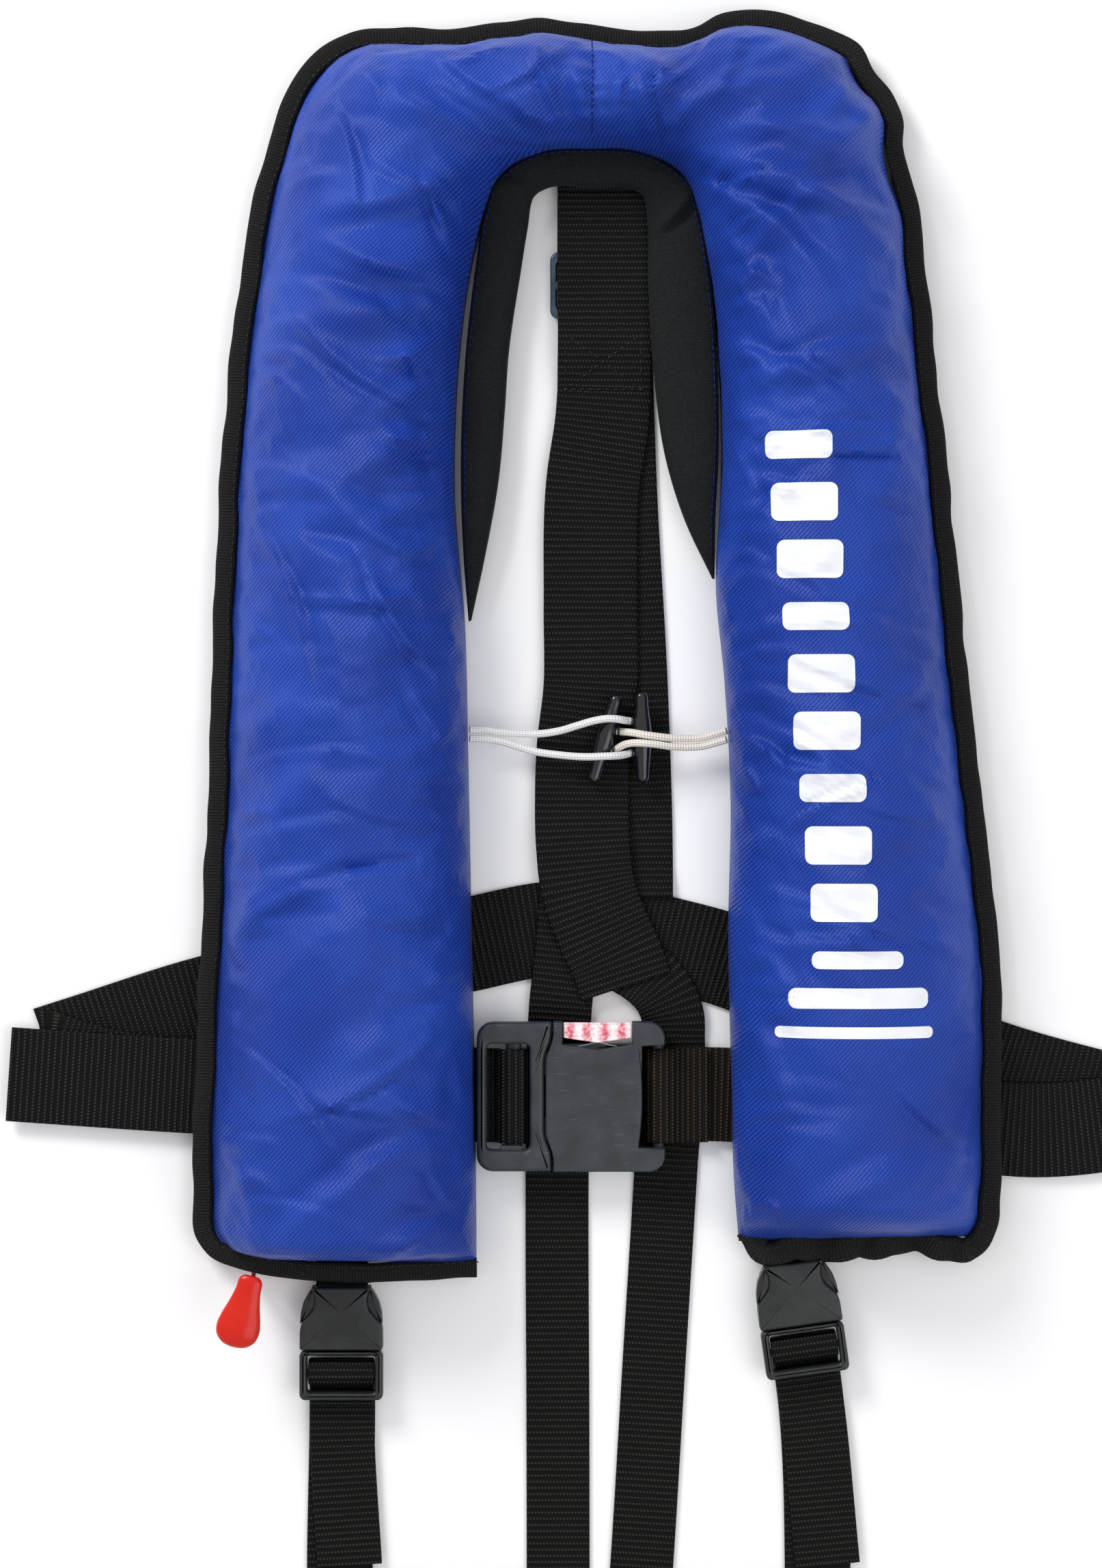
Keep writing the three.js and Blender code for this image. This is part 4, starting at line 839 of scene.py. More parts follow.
RIGHT_FOLDS = [
    Fold((39, 266), (121, 229), 6, 3.5), Fold((43, 256), (96, 207), 5, 3.0),
    Fold((36, 270), (109, 270), 6, 3.0), Fold((27, 277), (80, 295), 7, 3.0),
    Fold((46, 242), (71, 188), 5, 3.0), Fold((2, 274), (-5, 305), 4, 1.5),
    Fold((-33, 314), (-5, 286), 7, 2.0), Fold((11, 314), (36, 283), 7, 2.2),
    Fold((118, 295), (83, 261), 6, 2.5), Fold((124, 258), (115, 201), 6, 2.4),
    Fold((47, 226), (65, 201), 3.5, 2.5), Fold((50, 195), (72, 176), 4, 2.5),
    Fold((52, 163), (77, 157), 4, 2.0), Fold((54, 132), (77, 113), 4.5, 2.0),
    Fold((109, 182), (137, 132), 8, 1.8), Fold((55, 38), (80, 19), 4.5, 2.0),
    Fold((134, 50), (149, 0), 5, 2.2), Fold((118, 25), (146, -22), 7, 1.8),
    Fold((57, -44), (83, -72), 5, 1.8), Fold((58, -72), (77, -120), 6, 1.8),
    Fold((61, -151), (102, -113), 6, 2.4), Fold((80, -157), (140, -132), 6, 2.2),
    Fold((156, -44), (134, -107), 6, 1.8), Fold((153, -132), (124, -85), 7, 1.6),
]


@dataclass
class Cover:
    """The burst-open cover: a padded U, its back panel, its taped edge and plain print bars."""

    rise: float = 41.0
    end_round: float = 15.0
    hem: float = 3.2
    rows: int = 262
    columns: int = 42
    swell_cap: float = 6.0
    # No point of the blown cloth sinks further than this, and sideways moves keep this share.
    lowest_move: float = -0.6
    side_share: float = 0.4
    blow_frames: int = 20
    tape_width: float = 8.0
    tape_height: float = 4.2
    # Middle and reach of the swelling over the inflator.
    inflator: tuple[float, float, float] = (-142.0, -134.0, 19.0)
    inflator_rise: float = 6.0

    # Stiff coated cloth, cut 1.8% larger than its frame and held along its borders.
    blowing = {
        "quality": 5, "mass": 0.2, "tension_stiffness": 18, "compression_stiffness": 18,
        "shear_stiffness": 6, "bending_stiffness": 0.35, "shrink_min": -0.018,
        "use_pressure": True, "uniform_pressure_force": 3.2, "vertex_group_mass": "held",
    }
    # Rows of (inner x, inner y, outer x, outer y) along the U, from the left lobe to the right.
    stations = [
        (-46.3, -174, -130, -176), (-46.3, -167, -145, -171.5), (-46.4, -150, -151.6, -155),
        (-46.6, -128, -153.6, -130), (-47, -100, -154, -105), (-48.3, -35, -151.6, -45),
        (-49.6, 30, -148.8, 20), (-51, 85, -146.1, 90), (-55, 138, -143, 150),
        (-53, 190, -138.6, 200), (-47, 232, -130.8, 250), (-37, 262, -111.5, 299.5),
        (-20, 272, -62, 321), (0, 273.5, -5, 321), (20, 272, 55, 323), (37, 262, 105, 308),
        (47, 226, 124.5, 255), (51.5, 182, 130, 200), (52, 138, 137.6, 140), (50, 100, 142.2, 95),
        (53.5, 60, 148.6, 40), (56, 10, 155.6, -20), (55, -44, 158.8, -70),
        (56.5, -107, 158.6, -112), (57.3, -140, 158.2, -143), (59.3, -165.5, 157, -165.5),
    ]
    taped_edge = [
        (-46, -180), (-84, -182), (-112, -181.5), (-133, -179), (-143, -176), (-154, -171.5),
        (-158.5, -165), (-160.5, -140), (-160, -110), (-157.5, -50), (-154.5, 10), (-152, 90),
        (-147, 175), (-140, 232), (-132.5, 269), (-119, 303.5), (-110, 314.5), (-97, 321.5),
        (-78, 323), (-56, 322.8), (-35, 325.5), (-20, 327), (-5, 325), (11, 322.8), (30, 321.8),
        (43, 324), (52, 328.6), (62, 330.3), (79, 328.6), (95, 323), (108, 316), (113.5, 305),
        (122, 296), (126, 286), (125.5, 275), (128.5, 261), (133, 247), (134, 232), (136.5, 208),
        (144, 140), (153, 50), (160, -10), (165, -60), (164.8, -110), (164.6, -145), (162.5, -160),
        (152, -173.5), (141, -171.5), (132, -168.5), (116, -170.5), (90, -171.5), (68, -173),
        (58.5, -163),
    ]

    def plan(self, rows: int, columns: int, tuck: float = 0.0) -> tuple[Grid, Grid, Grid]:
        """Loft the plan: point = inner edge to outer edge, closer together near both edges.

        Args:
            rows: steps along the U. columns: steps across it.
            tuck: how far both edges are drawn in.

        Returns:
            plan points, share of the way across each row from 0 to 1, and distance along the
            middle line.
        """
        rails = spline(self.stations, rows)
        inner, outer = rails[:, :2], rails[:, 2:]
        under_tape = offset_line(spline(self.taped_edge, 1600), -self.tape_width + 1.7)
        gaps = np.linalg.norm(outer[:, None] - under_tape[None], axis=-1)
        outer = under_tape[gaps.argmin(axis=1)]
        reach = unit(outer - inner)
        inner, outer = inner + tuck * reach, outer - tuck * reach
        t = np.linspace(0, 1, columns)
        share = 0.4 * t + 0.3 * (1 - np.cos(np.pi * t))
        points = inner[:, None] * (1 - share[:, None]) + outer[:, None] * share[:, None]
        return points, share, along_line((inner + outer) / 2)

    def crown(self, share: Grid, along: Grid) -> Grid:
        """Pillow height: (sin pi u)^0.42, u from seam to hem, times both ends' rounds."""
        u = np.clip(share / (1 - self.hem / 98), 0, 1)
        from_end = np.clip(np.minimum(along, along[-1] - along) - 2.4, 0, None)
        end = np.sqrt(1 - (1 - np.clip(from_end / self.end_round, 0, 1)) ** 2)
        return np.clip(np.sin(np.pi * u**0.95), 0, 1)[None] ** 0.42 * end[:, None]

    def puckers(self, rail: int, seed: int, spacing: float, reach: float,
                rise: float) -> list[Fold]:
        """Small folds that start at one edge and run in across the cover at chance angles.

        Args:
            rail: 0 for the seam along the neck, 1 for the taped edge.
            seed: which set of chances.
            spacing: mean distance from one to the next.
            reach: mean length.
            rise: mean height.

        Returns:
            the folds.
        """
        chance = np.random.default_rng(seed)
        rails = spline(self.stations, 900)
        edge, other = rails[:, 2 * rail:2 * rail + 2], rails[:, 2 - 2 * rail:4 - 2 * rail]
        along = along_line(edge)
        made, place = [], spacing
        while place < along[-1] - spacing:
            at = int(np.searchsorted(along, place))
            inward = unit(other[at] - edge[at])
            angle = chance.normal(0, 0.5)
            turned = np.array([inward[0] * np.cos(angle) - inward[1] * np.sin(angle),
                               inward[0] * np.sin(angle) + inward[1] * np.cos(angle)])
            start = edge[at] + inward * chance.uniform(0.5, 3)
            end = start + turned * reach * chance.uniform(0.5, 1.6)
            width = chance.uniform(1.5, 3.2)
            made.append(Fold(tuple(start), tuple(end), width, rise * chance.uniform(0.5, 1.4)))
            place += spacing * chance.uniform(0.5, 1.6)
        return made

    def creases(self, points: Grid, crown: Grid) -> Grid:
        """Sum of all folds, edge puckers, the inflator's swelling and the centre seam's groove.

        Args:
            points: plan points. crown: pillow height from 0 to 1.

        Returns:
            how far each point is raised.
        """
        x, y = points[..., 0], points[..., 1]
        folds = LEFT_FOLDS + RIGHT_FOLDS + self.puckers(0, 3, 9, 24, 1.5)
        folds += self.puckers(1, 8, 15, 20, 1.2) + self.puckers(0, 17, 34, 62, 1.7)
        folds += self.puckers(1, 29, 40, 58, 1.5)
        total = sum(fold.height(x, y) for fold in folds)
        from_seam = np.linalg.norm(points - points[:, :1], axis=-1)
        along = along_line(points[:, 0])[:, None] * np.ones_like(x)
        neck = np.clip((y - 70) / 40, 0.25, 1)
        pucker = ripple(along, 7, 5) * 1.3 * np.exp(-from_seam / 8) * neck
        from_tape = np.linalg.norm(points - points[:, -1:], axis=-1)
        pull = ripple(along, 13, 9) * 0.9 * np.exp(-from_tape / 9)
        middle_x, middle_y, reach = self.inflator
        away = (x - middle_x) ** 2 + (y - middle_y) ** 2
        total = total + self.inflator_rise * np.exp(-away / reach**2)
        groove = -1.6 * np.exp(-((x / 2.2) ** 2)) + 0.8 * np.exp(-((x / 9) ** 2)) * ripple(y, 9, 3)
        groove = np.where(y > 270, groove, 0.0)
        return (total + pucker + pull + groove) * np.clip(crown * 1.5, 0, 1)

    def shell(self, rows: int, columns: int) -> tuple[Grid, Grid]:
        """Top and underside of the padded U, with equal borders.

        Args:
            rows: steps along. columns: steps across.

        Returns:
            grid of the top and grid of the underside.
        """
        plan, share, along = self.plan(rows, columns)
        crown = self.crown(share, along)
        z = COVER_Z + 0.4 + self.rise * crown
        top = np.concatenate([plan, z[..., None]], axis=-1)
        under = top.copy()
        under[1:-1, 1:-1, 2] = COVER_Z + 0.1 - 0.6 * np.clip(crown * 3, 0, 1)[1:-1, 1:-1]
        return top, under

    def settle(self, top: Grid, under: Grid) -> Grid:
        """Blow the U up as cloth with its underside and borders held, then cap each move.

        Args:
            top: grid of the top. under: grid of the underside.

        Returns:
            the top after 20 steps, no point further from its start than the cap.
        """
        soft = tessellate("cover_blown", [Patch(top), Patch(under)], TWILL)
        start = coordinates(soft.data)
        keys = np.round(start / (2 * MM), 0).astype(int)
        flat = {tuple(k) for k in np.round(under.reshape(-1, 3) / 2, 0).astype(int)}
        held = [i for i, key in enumerate(keys) if tuple(key) in flat]
        soft.vertex_groups.new(name="held").add(held, 1.0, "REPLACE")
        cloth = soft.modifiers.new("blown", "CLOTH")
        for setting, value in self.blowing.items():
            setattr(cloth.settings, setting, value)
        cloth.settings.effector_weights.gravity = 0
        cloth.point_cache.frame_start = 1
        cloth.point_cache.frame_end = self.blow_frames
        for step in range(1, self.blow_frames + 1):
            bpy.context.scene.frame_set(step)
        settled = soft.evaluated_get(bpy.context.evaluated_depsgraph_get())
        moved = (coordinates(settled.data) - start) / MM
        far = np.linalg.norm(moved, axis=1, keepdims=True)
        moved *= np.minimum(1, self.swell_cap / np.maximum(far, 1e-6))
        moved[:, 2] = np.maximum(moved[:, 2], self.lowest_move)
        moved[:, :2] *= self.side_share
        places = {tuple(k): i for i, k in enumerate(np.round(start / (0.02 * MM)).astype(int))}
        found = [places.get(tuple(k), -1)
                 for k in np.round(top.reshape(-1, 3) / 0.02).astype(int)]
        shift = np.where(np.array(found)[:, None] >= 0, moved[found], 0)
        bpy.data.objects.remove(soft)
        bpy.context.scene.frame_set(1)
        return top + shift.reshape(top.shape)

    def refine(self, top: Grid) -> Grid:
        """Double the grid both ways: a point between neighbours is their mean."""
        rows = np.linspace(0, len(top) - 1, 2 * len(top) - 1)
        columns = np.linspace(0, top.shape[1] - 1, 2 * top.shape[1] - 1)
        low_row, low_column = np.floor(rows).astype(int), np.floor(columns).astype(int)
        high_row = np.minimum(low_row + 1, len(top) - 1)
        high_column = np.minimum(low_column + 1, top.shape[1] - 1)
        share_row = (rows - low_row)[:, None, None]
        share_column = (columns - low_column)[None, :, None]
        tall = top[low_row] * (1 - share_row) + top[high_row] * share_row
        return tall[:, low_column] * (1 - share_column) + tall[:, high_column] * share_column

    def build_front(self) -> bpy.types.Object:
        """Make the padded front: shell, settled as cloth, then creased and welded shut."""
        top, under = self.shell(self.rows, self.columns)
        top = self.settle(top, under)
        top, under = self.refine(top), self.refine(under)
        _, share, along = self.plan(top.shape[0], top.shape[1])
        crown = self.crown(share, along)
        top[..., 2] += self.creases(top[..., :2], crown)
        top[..., 2] = np.maximum(top[..., 2], under[..., 2])
        front = tessellate("front_cover_skin", [Patch(top), Patch(under)], TWILL, sharp=70)
        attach(front, "jacket")
        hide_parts("front_cover")
        self.front = front
        middle = top[(np.abs(top[..., 0]) < 90).any(axis=1)]
        seam_y = np.linspace(277, 317, 24)
        flat = middle.reshape(-1, 3)
        near = [np.argmin((flat[:, 0]) ** 2 + (flat[:, 1] - y) ** 2) for y in seam_y]
        line = np.column_stack([np.zeros(24), seam_y, flat[near, 2] + 0.5])
        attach(stitches("centre_seam_stitches", line, BLUE_THREAD, 2.9, 2.0, 0.3), "jacket")
        return front

    def build_panel(self) -> bpy.types.Object:
        """Make the back panel: the same plan at two heights, its borders welded together."""
        plan, share, along = self.plan(200, 20, tuck=0.4)
        crown = self.crown(share, along)
        quilt = 0.16 * np.cos(plan[..., 0] / 3.2) * np.cos(plan[..., 1] / 3.2)
        top = np.concatenate([plan, (7.0 + 0.75 * np.clip(crown * 4, 0, 1))[..., None]], -1)
        low = top.copy()
        low[1:-1, 1:-1, 2] = (6.8 - (0.35 + quilt) * np.clip(crown * 4, 0, 1))[1:-1, 1:-1]
        panel = tessellate("back_panel_skin", [Patch(top), Patch(low)], TWILL, sharp=70)
        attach(panel, "jacket")
        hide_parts("back_panel")
        return panel

    def build_tape(self) -> bpy.types.Object:
        """Make the edge tape: a flattened round profile carried along the outer edge, rippled."""
        edge = spline(self.taped_edge, 900)
        middle = offset_line(edge, -self.tape_width / 2)
        along = along_line(edge)
        curl = np.exp(-(((along - along[-1] + 55) / 52) ** 2))
        sway = 0.45 * ripple(along, 34, 21) + 1.4 * curl * ripple(along, 17, 4)
        middle = middle + sway[:, None] * (middle - edge) / (self.tape_width / 2)
        z = PANEL_Z + 2.4 + 0.5 * ripple(along, 41, 8) + curl * (2.2 + 1.6 * ripple(along, 15, 6))
        path = np.column_stack([middle, z])
        tangent = unit(np.gradient(path, axis=0))
        side = unit(np.cross(UP, tangent))
        angle = np.linspace(0, 2 * np.pi, 25)
        width = self.tape_width / 2 * (1 + 0.45 * curl + 0.05 * ripple(along, 23, 2))
        height = self.tape_height / 2 * (1 + 0.5 * curl)
        wave = np.stack([np.sign(np.cos(angle)) * np.abs(np.cos(angle)) ** 0.55,
                         np.sign(np.sin(angle)) * np.abs(np.sin(angle)) ** 0.75], axis=-1)
        section = wave[None] * np.stack([width, height], axis=-1)[:, None]
        tape = tessellate("edge_tape", [carry(path, section, side)], TAPE, sharp=75)
        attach(tape, "jacket")
        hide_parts("edge_binding")
        inner = offset_line(edge, -self.tape_width + 1.6)
        inner = inner + sway[:, None] * (middle - edge) / (self.tape_width / 2)
        line = np.column_stack([inner, z + height - 0.15])
        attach(stitches("edge_tape_stitches", line, BLACK_THREAD, 3.1, 2.3, 0.32), "jacket")
        return tape

    def build_print(self) -> bpy.types.Object:
        """Make plain print bars: round-ended plan patches laid down on the front, 0.3 mm above it.

        Bars say nothing: one broken upright bar and three thin level ones.
        """
        bars = []
        for k in range(9):
            y = 152 - 22.5 * k
            bars.append((81 + 2.2 * k, y, 26, 15 if k % 3 else 11, 3.0))
        bars += [(104, -50.5, 36, 7, 3), (104.5, -65.5, 55, 8, 3), (103, -79, 62, 4.6, 2)]
        t = np.linspace(0, 1, 21)
        patches = []
        for x, y, width, height, r in bars:
            outline = rounded(x - width / 2, x + width / 2, y - height / 2, y + height / 2, r, 9,
                              25)
            centre = np.array([x, y])
            grid = centre + (outline - centre)[None] * t[:, None, None]
            patches.append(Patch(np.concatenate([grid, np.full((*grid.shape[:2], 1), 70.0)], -1)))
        made = tessellate("printed_bars", patches, INK, sharp=80, outward=False)
        wrap = made.modifiers.new("laid", "SHRINKWRAP")
        wrap.wrap_method = "PROJECT"
        wrap.use_project_z = True
        wrap.use_negative_direction = True
        wrap.use_positive_direction = False
        wrap.target = self.front
        wrap.offset = 0.3 * MM
        bpy.context.view_layer.update()
        laid = made.evaluated_get(bpy.context.evaluated_depsgraph_get())
        places = coordinates(laid.data)
        made.modifiers.clear()
        made.data.vertices.foreach_set("co", places.ravel())
        made.data.update()
        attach(made, "jacket")
        return made


@dataclass
class Collar:
    """The neoprene neck collar: a soft band sewn to the cover's neck edge."""

    height: float = 8.4
    stations = [
        (-49.5, 84, -48.4, 84.5), (-51.5, 110, -42.5, 112), (-52.5, 138, -37.5, 140),
        (-52, 170, -34.8, 170), (-50.3, 195, -33.3, 192), (-46.3, 229, -28.3, 226),
        (-43.5, 247, -25.6, 243), (-38, 261.5, -23.3, 255), (-27, 270, -17.5, 258.8),
        (0, 274, 0, 258.8), (25, 270.5, 15.5, 258.6), (38.5, 261, 21, 255), (44, 245, 22.6, 243),
        (47.6, 224, 22.8, 225), (50.8, 182, 25, 185), (51, 150, 29.8, 150), (49.8, 125, 37.5, 125),
        (49.6, 101, 48.6, 101.5),
    ]

    def build(self) -> bpy.types.Object:
        """Make the band: root of sin pi t above a flat underside, lower towards both tips."""
        rails = spline(self.stations, 220)
        inner, outer = rails[:, :2], rails[:, 2:]
        t = np.linspace(0, 1, 22)
        share = ((1 - np.cos(np.pi * t)) / 2)[None, :, None]
        plan = inner[:, None] * (1 - share) + outer[:, None] * share
        along = along_line(outer)
        from_end = np.minimum(along, along[-1] - along)
        end = np.clip(from_end / 45, 0, 1) ** 0.5
        bell = np.sqrt(np.clip(np.sin(np.pi * (0.12 + 0.88 * t)), 0, 1))[None] * end[:, None]
        crease = Fold((44, 264), (21, 238), 2.4, 2.2).height(plan[..., 0], plan[..., 1])
        crease += Fold((-44, 262), (-22, 252), 2.6, 1.4).height(plan[..., 0], plan[..., 1])
        dent = (0.5 * ripple(along, 37, 12)[:, None] + crease) * bell
        top = np.concatenate([plan, (PANEL_Z + 0.5 + self.height * bell + dent)[..., None]], -1)
        under = top.copy()
        under[..., 2] = PANEL_Z + 0.4
        rims = [np.stack([top[:, i], under[:, i]], axis=1) for i in (0, -1)]
        ends = [np.stack([top[i], under[i]], axis=0) for i in (0, -1)]
        made = tessellate("neck_collar_band", [Patch(g) for g in (top, under, *rims, *ends)], FOAM,
                          sharp=80)
        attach(made, "jacket")
        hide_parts("neck_collar")
        line = np.column_stack([inner + 1.6 * unit(outer - inner),
                                PANEL_Z + 1.3 + self.height * (bell[:, 3])])
        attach(stitches("collar_seam_stitches", line[6:-6], BLUE_THREAD, 3.0, 2.1, 0.3), "jacket")
        return made


# ---------------------------------------------------------------- webbing
@dataclass
class Strap:
    """One run of webbing: a flat profile with round edges carried along its middle line.

    A step whose level width direction lies closer to lengthwise than steady, as a cosine, keeps
    that direction; the others, in folds, are drawn from them.
    """

    name: str
    stands_for: tuple[str, ...]
    line: Sequence[tuple[float, float, float]]
    width: float = BELT
    lengthwise: tuple[float, float, float] = (0.0, 1.0, 0.0)
    roll: Sequence[float] = (0.0, 0.0)
    finish: Finish = WEBBING
    thickness: float = 1.6
    steady: float = 0.55

    def sides(self, path: Grid) -> Grid:
        """Direction of the width at each step: level, square to the run, kept to one sense.

        Where the run stands upright, as in a fold, the direction is drawn from its neighbours.
        """
        tangent = unit(np.gradient(path, axis=0))
        level = np.cross(UP, tangent)
        sense = np.sign(level @ np.asarray(self.lengthwise))
        strength = np.linalg.norm(level[:, :2], axis=1)
        clear = np.flatnonzero((strength > 0.75)
                               & (np.abs(unit(level) @ np.asarray(self.lengthwise))
                                  > self.steady))
        level = unit(level) * sense[:, None]
        steps = np.arange(len(path))
        filled = np.stack([np.interp(steps, clear, level[clear, k]) for k in range(3)], axis=1)
        angle = np.radians(np.interp(np.linspace(0, 1, len(path)),
                                     np.linspace(0, 1, len(self.roll)), self.roll))[:, None]
        return unit(filled * np.cos(angle) + np.cross(tangent, filled) * np.sin(angle))

    def section(self) -> Grid:
        """Profile of the webbing: two straight faces joined by half-round edges."""
        half, r = self.width / 2, self.thickness / 2
        across = np.linspace(-1, 1, 13) * (half - r)
        arc = np.linspace(np.pi / 2, -np.pi / 2, 7)[1:-1]
        right = np.column_stack([half - r + r * np.cos(arc), r * np.sin(arc)])
        upper = np.column_stack([across, np.full(13, r)])
        lower = np.column_stack([across[::-1], np.full(13, -r)])
        return np.concatenate([upper, right, lower, -right, upper[:1]])

    def build(self) -> bpy.types.Object:
        """Carry the profile along the line, kept clear of the floor, and dress it."""
        rough = spline(self.line, 400)
        rough[:, 2] = np.maximum(rough[:, 2], self.thickness / 2 + 0.1)
        # One step for each 2.2 mm.
        count = int(np.clip(along_line(rough)[-1] / 2.2, 12, 420))
        path = resample(rough, count)
        webbing = carry(path, self.section(), self.sides(path))
        made = tessellate(self.name, [webbing], self.finish, sharp=55)
        if self.stands_for:
            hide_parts(*self.stands_for)
        return made


@dataclass(frozen=True)
class CrotchSite:
    """Where one crotch buckle lies (middle, parting line, turn) and its strap's two feet."""

    side: str
    x: float
    y: float
    turned: float
    foot: float
    tail_foot: float


CROTCH_SITES = (CrotchSite("left", -100.7, -209.3, 0.0, -101.7, -97.6),
                CrotchSite("right", 84.5, -199.4, 8.0, 91.5, 95.5))


class Harness:
    """The back strap, waist belt and crotch straps with their sewing."""

    def __init__(self) -> None:
        """Settle the middle lines of all straps."""
        z0, z1, z2 = LAYERS
        belt = (0.0, 1.0, 0.0)
        down = (1.0, 0.0, 0.0)
        y = WAIST_Y
        bar, end = TAB_BAR_X, HOUSING_BAR_X
        self.back = [
            Strap("back_strap_under", ("back_strap_rear",),
                  [(5.4, 287, z0), (5.4, 210, z0), (7.5, 140, z0), (12, 57, z0), (14, -14, z0),
                   (14, -27, z0 + 2)], lengthwise=down),
            Strap("waist_belt_sewn_half", ("waist_belt_right",), [
                (0.4, -38, z0), (17, -42.6, z0), (54.5, -52.5, z0), (110, -76, z0), (165, -97, z0),
                (218, -111.5, z0), (226, -113.6, z0), (229, -114.6, 1.95), (226, -115.5, z1),
                (218, -117.2, z1), (180, -121.4, z1), (150, -119, z1)], lengthwise=belt,
                steady=0.9),
        ]
        self.belt_left = Strap("waist_belt_loop_half", ("waist_belt_left",), [
            (0, -38, z0), (-22, -40.5, z0), (-50, -46.5, z0), (-100, -57, z0), (-157.5, -70.5, z0),
            (-206, -86, z0), (-216.5, -89.4, z0), (-221.6, -91.3, 1.95), (-216.5, -93.4, z1),
            (-206, -96.8, z1), (-187, -101, z1), (-160, -103.5, z1), (-60, y, z1),
            (bar - 11, y, z1), (bar - 7.2, y, 5.6), (bar - 5.6, y, 9.2), (bar - 3.6, y, 12.1),
            (bar, y, 12.8),
            (bar + 3.6, y, 12.1), (bar + 5.4, y, 9.2), (bar + 3.4, y, 6.4), (bar - 1, y, 5.4)],
            lengthwise=belt, steady=0.9)
        self.tail = Strap("waist_belt_free_end", ("waist_belt_tail",), [
            (-235, -98.5, z2), (-160, -103.5, z2), (-60, y, z2), (bar - 5.5, y, z2 + 0.1)],
            lengthwise=belt)
        self.buckle_end = Strap("waist_belt_sewn_loop", ("waist_belt_buckle_end",), [
            (47, y, 5.0), (38, y, 5.6), (end + 5, y, 9.3), (end + 2, y, 10.7), (end - 1, y, 10.8),
            (end - 3.6, y, 9.6), (end - 4.5, y, 7.4), (end - 3.2, y, 4.6), (end + 0.5, y, z1),
            (56, y, z1), (100, -112, z1), (149.4, -119, z1)],
            lengthwise=belt, finish=WORN_WEBBING)
        self.front = Strap("back_strap_over", ("back_strap_front",), [
            (5.4, 287, z1), (5.4, 264, z1), (5.4, 254, 4.6), (5.4, 247, 5.6), (5.4, 220, 5.6),
            (5.4, 193, 5.6), (5.3, 186, 4.6), (5.2, 177, z1), (4.4, 166, z1), (0.8, 141, z1),
            (-0.3, 90, z1), (-0.4, 57, z1), (-3.2, 32, z1), (-3.8, 14, z1), (-3.4, -6, 4.6),
            (-1.2, -24, z2 + 0.3), (5, -41, z2 + 0.4), (10.6, -53, z2 + 0.3), (14, -63, z2)],
            lengthwise=down)
        left_down = Strap("crotch_strap_left_down", ("crotch_strap_left",), [
            (-8, -26, z1), (-11, -58, z1), (-12.2, -68, z1), (-13, -80, z0), (-13.8, -140, z0),
            (-13.5, -240, z0), (-13.4, -322, z0), (-13.4, -327.6, 1.9), (-13.4, -322, z1),
            (-13.4, -312, z1)], CROTCH, lengthwise=down)
        right_down = Strap("crotch_strap_right_down", ("crotch_strap_right",), [
            (7, -51, z1), (14.5, -54, z1), (22, -58.5, 3.9), (28.6, -65, 4.2), (32.4, -73, 3.6),
            (33.2, -86, z0 + 0.4),
            (30.2, -137, z0), (25.4, -215, z0), (20.5, -296, z0), (18.7, -322, z0),
            (18.5, -327.6, 1.9), (18.8, -322, z1), (19.2, -312, z1)], CROTCH, lengthwise=down,
            roll=(0, -4, 2, 0, 0, 0, 0, 0, 0, 0, 0, 0))
        self.down = [left_down, right_down]

    def up_run(self, site: CrotchSite) -> list[Strap]:
        """One crotch strap's rise to its buckle: under the frame, over the bar, down as a tail.

        Args:
            site: where the buckle and the strap's feet are.

        Returns:
            the level run, the rise and the tail.
        """
        side, foot = site.side, site.foot
        c, s = np.cos(np.radians(site.turned)), np.sin(np.radians(site.turned))

        def at(down: float, z: float) -> tuple[float, float, float]:
            """Point on the buckle's own middle line."""
            return (site.x + s * down, site.y - c * down, z)

        lengthwise = (1.0, 0.0, 0.0)
        low, high = sorted((foot, -13.4 if side == "left" else 18.5))
        start, end = low - CROTCH / 2, high + CROTCH / 2
        level_run = [(start + 1, 1.2), (start + 2.5, 2.6), (start + 9, LAYERS[1]),
                     ((low + high) / 2, LAYERS[1]), (end - 9, LAYERS[1]), (end - 2.5, 2.6),
                     (end - 1, 1.2)]
        level = Strap(f"crotch_strap_{side}_level", (), [(x, LEVEL_Y, z) for x, z in level_run],
                      CROTCH - 0.6, lengthwise=(0.0, 1.0, 0.0))
        rise = Strap(f"crotch_strap_{side}_rise", (), [
            (foot, -322, 3.05), (foot, -327.6, 1.9), (foot, -320, 0.95), (foot, -296, 0.95),
            at(26, 0.95), at(12, 0.95), at(7.2, 1.6), at(4.6, 4.2), at(4.5, 8.4), at(6.2, 11.0),
            at(9.3, 11.7), at(12.0, 10.8), at(13.4, 8.0)], CROTCH + 1.1, lengthwise=lengthwise)
        tail = Strap(f"crotch_strap_{side}_tail", (f"crotch_strap_tail_{side}",), [
            at(13.6, 7.0), at(14.6, 4.4), at(18, 3.2), at(30, 3.05),
            (site.tail_foot, -297, 3.05)],
            CROTCH + 0.6, lengthwise=lengthwise)
        return [level, rise, tail]

    def tab(self, site: CrotchSite) -> Strap:
        """The short tab that holds a socket to its lobe: round the bar and up under the cover."""
        c, s = np.cos(np.radians(site.turned)), np.sin(np.radians(site.turned))
        points = [(19.2, 9.8), (18.6, 6.6), (20.0, 3.4), (24.0, 2.6), (30, 2.8), (38, 4.2),
                  (46, 5.0)]
        line = [(site.x - s * up, site.y + c * up, z) for up, z in points]
        return Strap(f"crotch_tab_{site.side}_loop", (f"crotch_tab_{site.side}",), line, 21,
                     lengthwise=(1.0, 0.0, 0.0))

